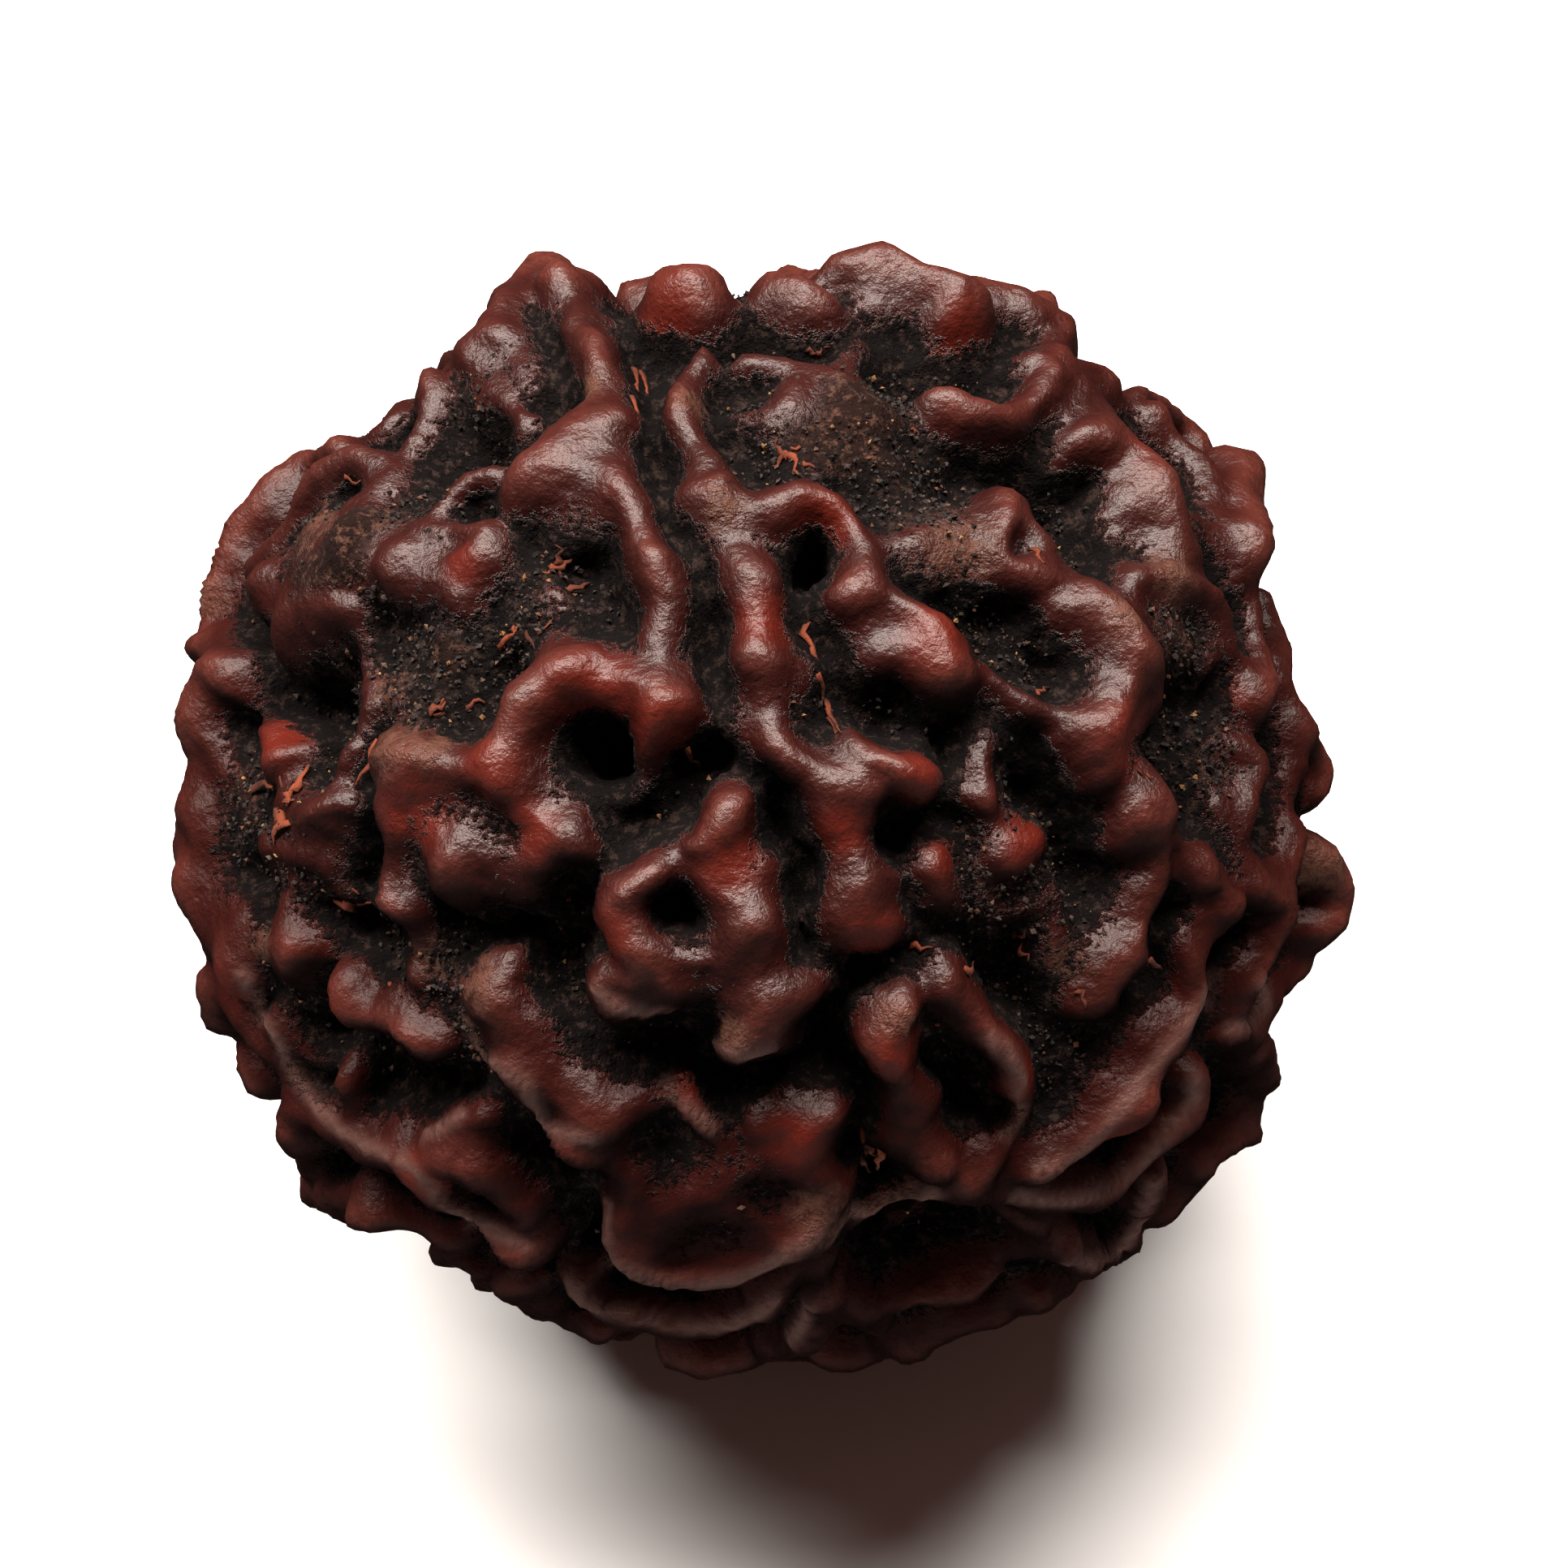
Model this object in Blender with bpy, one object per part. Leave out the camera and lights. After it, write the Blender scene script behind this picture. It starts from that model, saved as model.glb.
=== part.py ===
"""A rudraksha bead: the five-faced stone of the fruit, one solid, in metres with +Z up.

The ridges are set out in millimetres on an upright drawing of the bead's front, then thrown back
along the sight lines onto the bead. The back repeats the same growth by the stone's five-fold turn,
and short winding ridges fill what bare ground is left.
"""

import math
import random

import bmesh
import bpy
import numpy as np
from mathutils import Matrix, Vector

# Driving dimensions, in millimetres and degrees
MM = 0.001
CORE_RADIUS = 9.0
FACES = 5
HOLE_RADIUS = 0.9
HOLE_SIDES = 20
MOUTH_RADIUS = 1.7
MOUTH_DEPTH = 1.3
REST_DEPTH = 10.55
SIGHT_RISE = 50.0
EYE_DISTANCE = 109.5
GRID_CELLS = 64
TRIANGLES = 10600

# How the ridges are rounded and how they run into each other, in millimetres
EDGE_ROUND = 0.42
WALL_FLARE = 0.24
BLEND = 0.12
CREST_DOME = 0.4
CREST_WAVES = 0.08
CREST_RADIUS = 10.2
CREST_INSET = 0.28

# Ring of woody lip round each mouth of the hole: radius, half width and height
LIP_RADIUS = 1.75
LIP_HALF = 0.3
LIP_HEIGHT = 1.25

# The knobs that it rests on: one below the centre and three round it, with their half width and height
KNOB_SPREAD = 2.3
KNOB_HALF = 0.75
KNOB_HEIGHT = 1.95

# Winding ridges on bare ground: step along the crest, room between two, and how far from a furrow
WIND_STEP = 0.45
WIND_ROOM = 0.3
WIND_START_ROOM = 0.5
FURROW_ROOM = 0.75
WIND_STARTS = 1400

# Hidden ridges stay this low just past the bead's outline and rise with the distance behind it
OUTLINE_HEIGHT = 1.35
OUTLINE_RISE = 2.0

# Furrow between two faces: half width and depth below the core
FURROW_HALF = 0.42
FURROW_DEPTH = 0.5

# The bead's axis on the drawing: right, up and towards the eye
AXIS_ON_DRAWING = (0.30, -0.77, 0.56)
FURROW_ON_DRAWING = (-0.219, 0.514, 0.829)

# Main furrow on the drawing, from the top edge down to the hole
MAIN_FURROW = [
    (-2.7, 9.6), (-2.3, 8.8), (-2.0, 7.6), (-1.75, 6.2), (-1.5, 5.0), (-1.3, 4.0), (-1.1, 3.0),
    (-1.0, 2.0), (-0.7, 1.1), (-0.2, 0.4), (0.3, -0.4), (0.6, -1.4), (0.85, -2.6), (1.35, -3.8),
    (1.6, -5.0), (1.9, -6.2), (2.1, -7.0),
]

# Right-hand furrow on the drawing
RIGHT_FURROW = [
    (6.3, 7.5), (7.9, 6.9), (8.35, 6.0), (8.6, 4.9), (9.25, 3.4), (9.3, 1.6), (9.2, 0.2),
    (8.9, -0.9), (8.9, -2.4), (8.5, -4.0),
]

# Each ridge: crest height above the core, half width, then its crest line on the drawing.
# A pair gives the value at the two ends.
UPPER_LEFT = [
    (2.05, 0.42, [(-4.9, 9.0), (-4.5, 9.75), (-3.9, 10.15), (-3.6, 10.0)]),
    (1.75, 0.42, [(-4.6, 9.0), (-4.2, 9.4), (-3.7, 9.45), (-3.3, 9.15), (-3.05, 8.7)]),
    ((1.6, 1.9), (0.3, 0.6), [(-2.95, 8.6), (-3.0, 7.9), (-3.15, 7.2), (-3.4, 6.7)]),
    (1.95, (0.65, 0.7), [(-3.4, 6.85), (-4.15, 6.3)]),
    (1.65, (0.35, 0.3), [(-2.9, 7.0), (-2.6, 6.4), (-2.35, 5.8), (-2.15, 5.2), (-1.95, 4.5)]),
    (1.65, 0.28, [(-1.95, 4.5), (-1.8, 3.8), (-1.8, 3.1), (-1.8, 2.6)]),
    (1.5, 0.3, [(-6.35, 6.9), (-6.0, 7.5), (-5.95, 8.0), (-5.5, 8.25), (-5.0, 8.1)]),
    (1.25, 0.35, [(-6.0, 8.2), (-5.5, 8.3), (-5.1, 8.5)]),
    (1.3, 0.28, [(-4.95, 8.0), (-4.65, 7.6), (-4.35, 7.15)]),
    (1.1, 0.22, [(-4.2, 8.0), (-4.05, 7.6)]),
    (1.5, 0.28, [(-4.9, 6.2), (-5.4, 5.95), (-5.85, 5.5), (-6.1, 5.15), (-5.6, 5.15), (-5.0, 4.95)]),
    (1.6, 0.6, [(-5.5, 4.6), (-5.3, 4.4)]),
    (1.4, 0.35, [(-6.6, 7.4), (-6.9, 7.0), (-7.3, 6.7)]),
    (1.6, (0.8, 1.0), [(-7.7, 5.7), (-8.3, 4.9), (-8.6, 4.1)]),
    (1.8, 0.28, [(-7.2, 6.5), (-7.9, 6.2), (-8.4, 5.7), (-9.0, 5.0), (-9.5, 4.4)]),
    (1.8, 0.28, [(-9.5, 4.4), (-9.65, 3.7), (-9.6, 3.1), (-9.2, 2.85)]),
    (1.7, 0.35, [(-7.9, 6.75), (-8.5, 6.3), (-8.9, 5.7)]),
    (2.1, 0.35, [(-9.3, 5.95), (-9.5, 5.3), (-9.9, 4.7)]),
    (1.95, 0.3, [(-10.1, 4.2), (-10.3, 3.6), (-10.25, 3.1), (-10.0, 2.6)]),
    (1.15, 0.6, [(-7.6, 4.8), (-7.0, 4.7), (-6.4, 4.6)]),
    (1.1, 0.22, [(-7.3, 4.1), (-7.0, 3.4), (-6.8, 2.6), (-6.9, 1.8)]),
    (1.1, 0.22, [(-3.6, 4.0), (-3.35, 3.5), (-3.45, 2.9)]),
]

MIDDLE_LEFT = [
    (2.1, 0.8, [(-10.4, 2.2), (-10.55, 1.2), (-10.6, 0.2), (-10.5, -0.7)]),
    (1.25, 0.4, [(-9.2, 1.6), (-9.1, 1.0)]),
    (1.1, 0.4, [(-8.7, 0.2), (-8.0, 0.1), (-7.4, 0.1)]),
    (1.3, 0.45, [(-9.0, -0.8), (-8.4, -0.75), (-7.9, -0.9)]),
    (1.0, 0.16, [(-7.1, 1.2), (-7.35, 0.8), (-7.5, 0.3)]),
    (2.05, 0.7, [(-10.5, -0.7), (-10.3, -1.5), (-10.0, -2.2), (-9.7, -2.7)]),
    (1.5, 0.55, [(-9.3, -2.2), (-8.8, -2.3), (-8.4, -2.15)]),
    (1.5, 0.3, [(-9.3, -2.85), (-8.8, -2.9)]),
    (1.9, 0.4, [(-6.9, 1.05), (-6.1, 0.95), (-5.4, 0.95), (-4.8, 1.25), (-4.3, 1.75), (-3.85, 2.25),
            (-3.5, 2.65)]),
    (1.9, 0.32, [(-3.5, 2.65), (-3.0, 2.45), (-2.5, 2.45), (-2.05, 2.4), (-1.75, 2.0)]),
    (1.55, 0.35, [(-1.75, 2.0), (-1.75, 1.4), (-1.95, 0.8), (-2.2, 0.3)]),
    (1.6, 0.4, [(-4.0, 1.5), (-3.95, 0.8), (-3.8, 0.2)]),
    (1.95, 0.48, [(-4.8, 0.8), (-4.5, 0.2), (-4.0, -0.2), (-3.6, -0.35)]),
    (1.9, 0.75, [(-6.2, 0.3), (-6.0, -0.3), (-5.4, -0.9)]),
    (1.75, 0.5, [(-6.5, 0.3), (-6.65, -0.4), (-6.85, -1.1), (-6.9, -1.6)]),
    (1.55, 0.55, [(-5.4, -0.9), (-4.9, -1.2), (-4.3, -1.2)]),
]

LOWER_LEFT = [
    (1.5, 0.38, [(-6.2, -2.4), (-6.15, -3.0), (-6.2, -3.6), (-6.0, -4.2)]),
    (1.7, 0.34, [(-7.75, -3.5), (-7.2, -3.55), (-6.7, -3.8), (-6.1, -4.2)]),
    (1.4, 0.22, [(-7.6, -3.9), (-7.0, -4.15)]),
    (1.75, 0.3, [(-9.75, -3.0), (-9.5, -3.6), (-9.1, -4.2), (-8.8, -4.8), (-8.4, -5.4), (-7.9, -5.85)]),
    (1.75, 0.3, [(-7.9, -5.85), (-7.2, -6.15), (-6.6, -6.3)]),
    (1.5, 0.5, [(-8.7, -3.9), (-8.3, -4.5)]),
    (1.5, 0.45, [(-7.6, -5.0), (-7.4, -5.4)]),
    (2.1, 0.42, [(-10.15, -3.2), (-10.05, -3.8)]),
    (1.8, 0.35, [(-9.5, -4.4), (-9.2, -4.9)]),
    (1.95, 0.42, [(-8.6, -5.8), (-8.5, -6.4), (-8.2, -6.9), (-7.6, -7.3), (-7.0, -7.4)]),
    (1.7, 0.3, [(-7.2, -6.95), (-6.9, -7.3), (-6.4, -7.6), (-5.8, -8.0)]),
    (1.8, 0.72, [(-5.5, -6.5), (-4.9, -6.9), (-4.4, -7.3)]),
    (1.6, 0.25, [(-6.0, -6.2), (-5.6, -5.85), (-5.1, -5.6)]),
    (1.85, 0.25, [(-6.2, -6.7), (-5.9, -7.2), (-5.3, -7.55), (-4.7, -7.85), (-4.2, -8.05)]),
    (1.4, 0.35, [(-5.8, -8.2), (-5.1, -8.5)]),
    (1.5, 0.42, [(-4.3, -8.8), (-4.0, -9.2), (-3.5, -9.5), (-2.9, -9.6)]),
    (1.8, 0.65, [(-4.9, -3.0), (-4.8, -3.8), (-4.5, -4.4)]),
    (1.65, 0.68, [(-4.0, -4.9), (-3.3, -5.4), (-2.6, -5.6)]),
    (1.75, 0.22, [(-4.2, -4.95), (-4.15, -5.5), (-3.7, -5.95), (-3.0, -6.15)]),
]

MIDDLE = [
    (1.9, (0.38, 0.6), [(-0.55, 0.1), (-0.6, -0.6), (-0.5, -1.3), (-0.35, -2.1)]),
    (1.9, (0.6, 0.75), [(-0.35, -2.1), (-0.15, -2.9), (0.15, -3.5)]),
    (1.95, 0.3, [(-0.9, -0.5), (-1.6, -1.05), (-2.2, -1.5), (-2.6, -1.8)]),
    (1.85, 0.36, [(-2.6, -1.8), (-2.3, -2.5), (-1.9, -3.1), (-1.6, -3.4)]),
    (1.75, 0.4, [(-1.8, -2.5), (-1.2, -2.75), (-0.5, -2.7)]),
    (1.65, 0.4, [(-1.5, -3.2), (-0.7, -3.3), (-0.1, -3.5)]),
    (1.75, (0.62, 0.42), [(0.3, -3.5), (0.1, -3.95), (-0.35, -4.15)]),
    (1.5, 0.33, [(-2.9, -3.1), (-2.7, -3.4), (-2.3, -3.5)]),
    (1.3, 0.22, [(-1.5, -5.0), (-1.2, -5.45), (-0.85, -5.85), (-0.65, -6.3), (-0.6, -7.0)]),
    (1.6, 0.35, [(0.0, -5.8), (0.5, -5.6), (1.0, -6.0)]),
    (1.85, 0.48, [(0.9, -6.1), (1.15, -6.8), (1.1, -7.4), (0.5, -7.95)]),
    (1.9, 0.42, [(0.5, -7.95), (-0.4, -8.35), (-1.3, -8.5), (-2.1, -8.25)]),
    (1.85, 0.4, [(-2.1, -8.25), (-2.5, -7.8), (-2.5, -7.2), (-2.45, -6.7)]),
    (1.6, 0.6, [(0.2, -6.6), (0.0, -7.3), (-0.9, -7.6), (-1.7, -7.5)]),
    (1.5, 0.26, [(-3.4, -8.6), (-3.1, -9.1), (-2.2, -9.3), (-1.2, -9.45), (-0.3, -9.3), (0.2, -8.9),
            (0.6, -8.5)]),
    (1.45, 0.28, [(-1.8, -10.0), (-0.8, -10.1), (0.2, -10.1), (0.8, -9.7), (1.1, -9.1)]),
    (1.5, 0.28, [(1.3, -10.2), (2.2, -10.05), (3.0, -9.75), (3.9, -9.4), (4.5, -9.2)]),
    (1.5, 0.42, [(5.0, -8.85), (5.7, -8.6), (6.2, -8.3)]),
    (1.0, 0.42, [(1.6, -8.9), (2.2, -9.3)]),
]

UPPER_RIGHT = [
    (1.6, 0.5, [(-1.9, 9.9), (-1.35, 9.8), (-0.95, 9.3)]),
    (1.25, 0.35, [(0.25, 9.85), (0.9, 9.6), (1.5, 9.5)]),
    (1.95, 0.42, [(2.1, 10.2), (2.7, 10.15), (3.3, 9.8), (3.9, 9.6)]),
    (2.1, 0.38, [(4.3, 9.85), (4.85, 9.65), (5.2, 9.0), (5.4, 8.4)]),
    (1.2, 0.22, [(1.95, 8.9), (1.85, 8.4), (1.5, 8.0)]),
    (1.5, 0.4, [(0.6, 7.8), (0.4, 7.4)]),
    (1.15, 0.25, [(-0.3, 7.1), (0.3, 7.15)]),
    (1.5, 0.25, [(0.3, 8.15), (1.0, 8.05), (1.8, 7.85), (2.5, 7.6)]),
    (1.9, 0.34, [(2.9, 7.6), (3.5, 7.4), (4.1, 7.2), (4.8, 7.3), (5.1, 7.7), (5.0, 8.05)]),
    (1.6, 0.22, [(5.1, 8.25), (5.5, 7.9), (5.75, 7.3)]),
    (1.3, 0.36, [(3.6, 8.4), (3.65, 8.35)]),
    (1.1, 0.2, [(4.2, 8.15), (4.5, 7.95)]),
    (1.5, 0.33, [(5.9, 8.1), (6.4, 8.05), (6.6, 7.7)]),
    (1.7, 0.28, [(7.0, 7.55), (7.7, 7.2), (8.3, 6.8)]),
    (1.95, 0.5, [(6.4, 6.75), (7.0, 6.6), (7.5, 6.1), (7.7, 5.5), (7.8, 5.0)]),
    (1.8, 0.28, [(8.2, 6.5), (8.45, 5.8), (8.6, 5.1), (8.8, 4.6)]),
    (2.1, 0.5, [(8.9, 6.35), (9.15, 5.75), (9.15, 5.0)]),
    (1.5, 0.25, [(-1.2, 8.3), (-1.45, 7.6), (-1.35, 6.9), (-1.05, 6.3)]),
    (1.8, (0.36, 0.45), [(-0.75, 5.9), (-0.5, 5.1), (-0.3, 4.4), (0.0, 3.7), (0.1, 3.1)]),
    (1.65, 0.38, [(0.1, 3.1), (0.0, 2.4), (0.05, 1.8), (0.35, 1.2), (0.9, 0.75), (1.6, 0.4)]),
    (1.75, 0.32, [(0.1, 5.3), (0.6, 5.75), (1.2, 5.6), (1.6, 5.1), (1.8, 4.5), (1.85, 3.9)]),
    (1.95, 0.48, [(2.1, 3.9), (2.7, 3.6), (3.3, 3.2), (3.6, 2.9)]),
    (1.6, 0.45, [(2.4, 3.0), (3.2, 2.6)]),
    (1.3, 0.75, [(2.5, 4.7), (3.3, 4.8), (4.0, 5.2)]),
    (0.9, 0.5, [(1.4, 7.1), (2.3, 6.9)]),
    (1.0, 0.35, [(0.7, 2.4), (0.8, 1.6)]),
]

MIDDLE_RIGHT = [
    (1.55, 0.2, [(4.5, 5.7), (4.35, 5.1), (4.5, 4.55), (5.1, 4.3), (5.8, 4.15)]),
    (1.3, 0.2, [(4.8, 5.6), (4.9, 5.1), (5.2, 4.75)]),
    (2.0, (0.55, 0.6), [(6.2, 4.0), (6.65, 3.4), (6.75, 2.6)]),
    (2.0, (0.6, 0.45), [(6.75, 2.6), (6.7, 2.0), (6.4, 1.4), (6.2, 0.9)]),
    (1.7, 0.33, [(7.1, 3.6), (7.1, 2.8), (7.2, 2.1), (7.0, 1.5)]),
    (1.3, 0.26, [(4.2, 2.45), (4.7, 2.0), (5.3, 1.65), (5.8, 1.5)]),
    (1.85, 0.34, [(2.0, 1.35), (2.5, 1.0), (3.0, 0.8), (3.4, 0.5)]),
    (1.65, 0.3, [(1.6, 0.4), (2.1, 0.6), (2.6, 0.7)]),
    (1.4, 0.35, [(4.2, 1.1), (4.15, 0.6), (4.0, 0.2)]),
    (1.85, (0.5, 0.7), [(1.6, 0.3), (1.6, -0.5), (1.65, -1.3), (1.9, -2.1)]),
    (1.3, 0.42, [(3.3, -0.85), (3.3, -1.3)]),
    (1.6, 0.46, [(4.9, -0.55), (4.8, -0.8)]),
    (1.3, 0.32, [(4.1, -1.2), (4.4, -1.65), (4.9, -1.75), (5.3, -1.5)]),
    (1.6, 0.22, [(7.9, 5.2), (8.3, 4.8), (8.7, 4.4), (9.0, 3.9), (9.1, 3.2), (9.15, 2.6), (9.0, 2.1)]),
    (1.7, 0.42, [(7.0, 4.25), (7.7, 4.1), (8.3, 3.8), (8.7, 3.3), (8.8, 2.6)]),
    (1.2, 0.3, [(8.3, 2.7), (8.7, 2.3)]),
    (1.55, 0.36, [(9.6, 3.6), (9.7, 2.9), (9.7, 2.2), (9.8, 1.5)]),
    (1.75, 0.36, [(10.3, 0.9), (10.3, 0.4)]),
    (1.5, 0.24, [(8.8, 1.25), (9.05, 0.8), (8.9, 0.3), (8.75, -0.2), (8.7, -0.8)]),
    (1.5, 0.24, [(9.8, 0.7), (9.7, 0.1), (9.5, -0.5), (9.4, -1.0)]),
    (1.3, 0.3, [(8.3, 0.1), (8.4, -0.4)]),
    (1.75, 0.48, [(7.1, 0.1), (7.3, -0.7), (7.3, -1.4), (7.0, -2.1), (6.7, -2.7), (6.4, -3.3)]),
    (1.65, 0.2, [(6.95, 0.5), (7.3, 0.0), (7.65, -0.5), (7.9, -1.0)]),
    (1.75, 0.38, [(8.3, -1.1), (8.5, -1.6), (8.3, -2.0)]),
    (1.8, 0.36, [(9.2, -1.2), (9.5, -1.7), (9.3, -2.3), (9.1, -2.9), (8.9, -3.5)]),
    (2.1, 0.48, [(10.5, -0.9), (10.6, -1.6), (10.4, -2.2)]),
    (1.7, 0.33, [(9.9, -2.8), (9.7, -3.3)]),
]

LOWER_RIGHT = [
    (1.1, 0.25, [(5.4, -2.1), (5.3, -2.8), (5.7, -3.3)]),
    (1.5, 0.4, [(3.5, -3.2), (3.6, -3.7)]),
    (1.8, (0.36, 0.48), [(2.5, -3.7), (2.5, -4.4), (2.8, -5.2), (3.1, -5.9), (3.25, -6.6)]),
    (1.65, 0.33, [(4.0, -3.95), (4.5, -4.4), (4.75, -5.0), (4.7, -5.6), (4.4, -6.1), (4.0, -6.6),
            (3.6, -6.9)]),
    (1.9, 0.38, [(8.15, -2.6), (8.2, -3.2), (7.9, -3.9), (7.4, -4.6), (6.95, -5.2)]),
    (1.9, (0.45, 0.35), [(6.95, -5.2), (6.4, -5.8), (5.8, -6.3), (5.2, -6.55)]),
    (1.6, 0.35, [(7.3, -3.8), (6.9, -4.3), (6.3, -5.0)]),
    (1.75, 0.26, [(7.95, -4.8), (7.95, -5.3), (7.4, -6.1), (6.8, -6.8), (6.1, -7.1)]),
    (1.75, 0.24, [(6.1, -7.1), (5.3, -7.15), (4.5, -7.1), (3.9, -7.0)]),
    (1.65, 0.28, [(7.5, -6.8), (7.2, -7.4), (6.9, -8.0), (6.3, -8.25), (5.6, -8.1), (5.0, -7.8),
            (4.4, -7.7)]),
    (1.8, 0.35, [(8.8, -5.9), (8.3, -6.5), (8.0, -7.0), (7.6, -7.5)]),
    (1.65, 0.48, [(9.2, -4.4), (9.2, -5.0), (8.9, -5.6)]),
    (1.6, 0.2, [(9.4, -3.6), (9.1, -4.0), (8.5, -4.1)]),
]

# Broad raised ground on the drawing: place, radius and how far it stands above the core
PLATEAUS = [
    (1.4, 6.8, 1.9, 0.85), (3.3, 4.9, 1.2, 0.7), (1.0, 9.3, 1.7, 0.65), (3.8, 9.2, 1.4, 0.55),
    (-1.6, 9.3, 1.2, 0.5), (-4.6, 8.8, 1.2, 0.5), (-7.0, 7.2, 1.1, 0.5), (6.6, 7.7, 1.2, 0.5),
    (-8.0, 4.6, 1.4, 0.9), (-6.4, 4.9, 1.3, 0.7), (-6.0, 2.4, 1.3, 0.55), (-4.0, 3.7, 1.1, 0.35),
    (-6.0, 0.2, 1.2, 0.6), (-9.6, 0.0, 1.2, 0.7), (-8.6, -2.9, 1.2, 0.5), (7.4, 3.4, 1.1, 0.6),
    (6.0, 3.2, 0.9, 0.3), (8.5, 0.6, 1.2, 0.6), (-0.2, -7.2, 1.7, 0.8), (-5.0, -7.0, 1.2, 0.6),
    (-5.4, -3.7, 1.3, 0.5), (-0.9, -2.4, 1.0, 0.5), (4.3, -1.1, 1.2, 0.35), (5.9, -2.4, 1.0, 0.4),
    (3.4, 8.2, 1.0, 0.4), (-4.7, 7.6, 1.0, 0.4), (0.4, 2.2, 0.7, 0.5), (-2.4, -5.2, 0.9, 0.3),
]

DRAWN = UPPER_LEFT + MIDDLE_LEFT + LOWER_LEFT + MIDDLE + UPPER_RIGHT + MIDDLE_RIGHT + LOWER_RIGHT

# Deep hollows on the drawing: place, radius and how far the surface sinks
HOLLOWS = [
    (-2.9, 1.1, 0.55, 0.7), (0.9, 4.4, 0.4, 0.5), (5.8, 6.1, 0.7, 0.5), (-5.4, 7.2, 0.45, 0.5),
    (-8.1, 2.0, 0.7, 0.5), (5.0, 2.9, 0.6, 0.3), (7.9, 2.2, 0.4, 0.5), (-1.4, -1.6, 0.22, 0.8),
    (4.1, -5.1, 0.35, 0.4), (5.0, 0.4, 0.6, 0.5), (-4.5, -2.2, 0.7, 0.3), (2.7, 8.3, 0.3, 0.4),
    (4.3, 8.9, 0.4, 0.4), (-1.6, -6.6, 0.5, 0.4),
]


def unit(vectors):
    """Vectors scaled to length one."""
    vectors = np.asarray(vectors, dtype=float)
    return vectors / np.linalg.norm(vectors, axis=-1, keepdims=True)


def drawing_axes():
    """The drawing's right, up and towards-the-eye directions in the bead's own space."""
    rise = math.radians(SIGHT_RISE)
    right = (1.0, 0.0, 0.0)
    up = (0.0, math.sin(rise), math.cos(rise))
    toward = (0.0, -math.cos(rise), math.sin(rise))
    return np.array([right, up, toward])


def on_bead(x, y, radius):
    """Direction of the point where a sight line through the drawing meets the bead."""
    eye = np.array([0.0, 0.0, EYE_DISTANCE])
    ray = unit(np.array([x, y, 0.0]) - eye)
    nearest = -eye @ ray
    miss = EYE_DISTANCE ** 2 - nearest ** 2
    depth = math.sqrt(max(radius ** 2 - miss, 0.0))
    return unit(eye + (nearest - depth) * ray) @ drawing_axes()


def ends(value, count):
    """A value, or an even change between the two values of a pair, at each point of a line."""
    if isinstance(value, tuple):
        return np.linspace(value[0], value[1], count)
    return np.full(count, float(value))


def drawn_ridges():
    """The ridges of the drawing as lines of directions with half widths and heights."""
    ridges = []
    for height, half_width, line in DRAWN:
        heights = ends(height, len(line))
        ways = np.array([on_bead(x, y, CORE_RADIUS + h - CREST_INSET) for (x, y), h in zip(line, heights)])
        ridges.append((ways, ends(half_width, len(line)), heights))
    return ridges


def turn(axis, angle):
    """Turn about an axis, as a matrix for rows of directions."""
    return np.array(Matrix.Rotation(angle, 3, tuple(axis))).T


def furrow_frame():
    """The near pole, the main furrow's side of the bead and the side to its right."""
    pole = unit(np.array(AXIS_ON_DRAWING)) @ drawing_axes()
    front = np.array(FURROW_ON_DRAWING) @ drawing_axes()
    front = unit(front - (front @ pole) * pole)
    return pole, front, np.cross(front, pole)


def meridian(lean, polar):
    """Direction at an angle to the right of the main furrow and an angle from the near pole."""
    pole, front, side = furrow_frame()
    outward = math.cos(lean) * front + math.sin(lean) * side
    return math.cos(polar) * pole + math.sin(polar) * outward


def furrows():
    """The furrow lines: two from the drawing, run on over the back, and three round the back."""
    sector = 2 * math.pi / FACES
    lines = []
    for face in range(FACES):
        lean = face * sector
        drawn = {0: MAIN_FURROW, 1: RIGHT_FURROW}.get(face, [])
        line = [on_bead(x, y, CORE_RADIUS + 0.5) for x, y in reversed(drawn)]
        start = math.acos(line[-1] @ furrow_frame()[0]) + 0.1 if line else 0.2
        for polar in np.arange(start, math.pi - 0.15, 0.15):
            sway = 0.05 * math.sin(3.1 * polar + 2.0 * face)
            line.append(meridian(lean + sway, polar))
        lines.append(np.array(line))
    return lines


def side_gap(ways, nodes, half_widths, heights):
    """Distance along the surface to a ridge's crest line, with its half width and height there."""
    best = np.full(len(ways), np.inf)
    gap = np.full(len(ways), np.inf)
    width = np.full(len(ways), half_widths[0])
    height = np.full(len(ways), heights[0])
    for i in range(len(nodes) - 1):
        along = nodes[i + 1] - nodes[i]
        share = np.clip((ways - nodes[i]) @ along / (along @ along), 0.0, 1.0)
        foot = nodes[i] + share[:, None] * along
        distance = np.linalg.norm(ways - foot, axis=1) * CREST_RADIUS
        w = half_widths[i] + (half_widths[i + 1] - half_widths[i]) * share
        closer = distance - w < best
        best = np.where(closer, distance - w, best)
        gap = np.where(closer, distance, gap)
        width = np.where(closer, w, width)
        height = np.where(closer, heights[i] + (heights[i + 1] - heights[i]) * share, height)
    return gap, width, height


def under_ridges(ways, ridges):
    """Every pairing of a direction with a ridge that reaches it."""
    rows = []
    for nodes, half_widths, heights in ridges:
        middle = unit(nodes.mean(axis=0))
        span = np.arccos(np.clip(nodes @ middle, -1.0, 1.0)).max()
        margin = (half_widths.max() + 1.2) / CORE_RADIUS
        chosen = np.nonzero(ways @ middle > math.cos(span + margin))[0]
        if len(chosen):
            rows.append((chosen, *side_gap(ways[chosen], nodes, half_widths, heights)))
    return [np.concatenate(column) for column in zip(*rows)]


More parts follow.
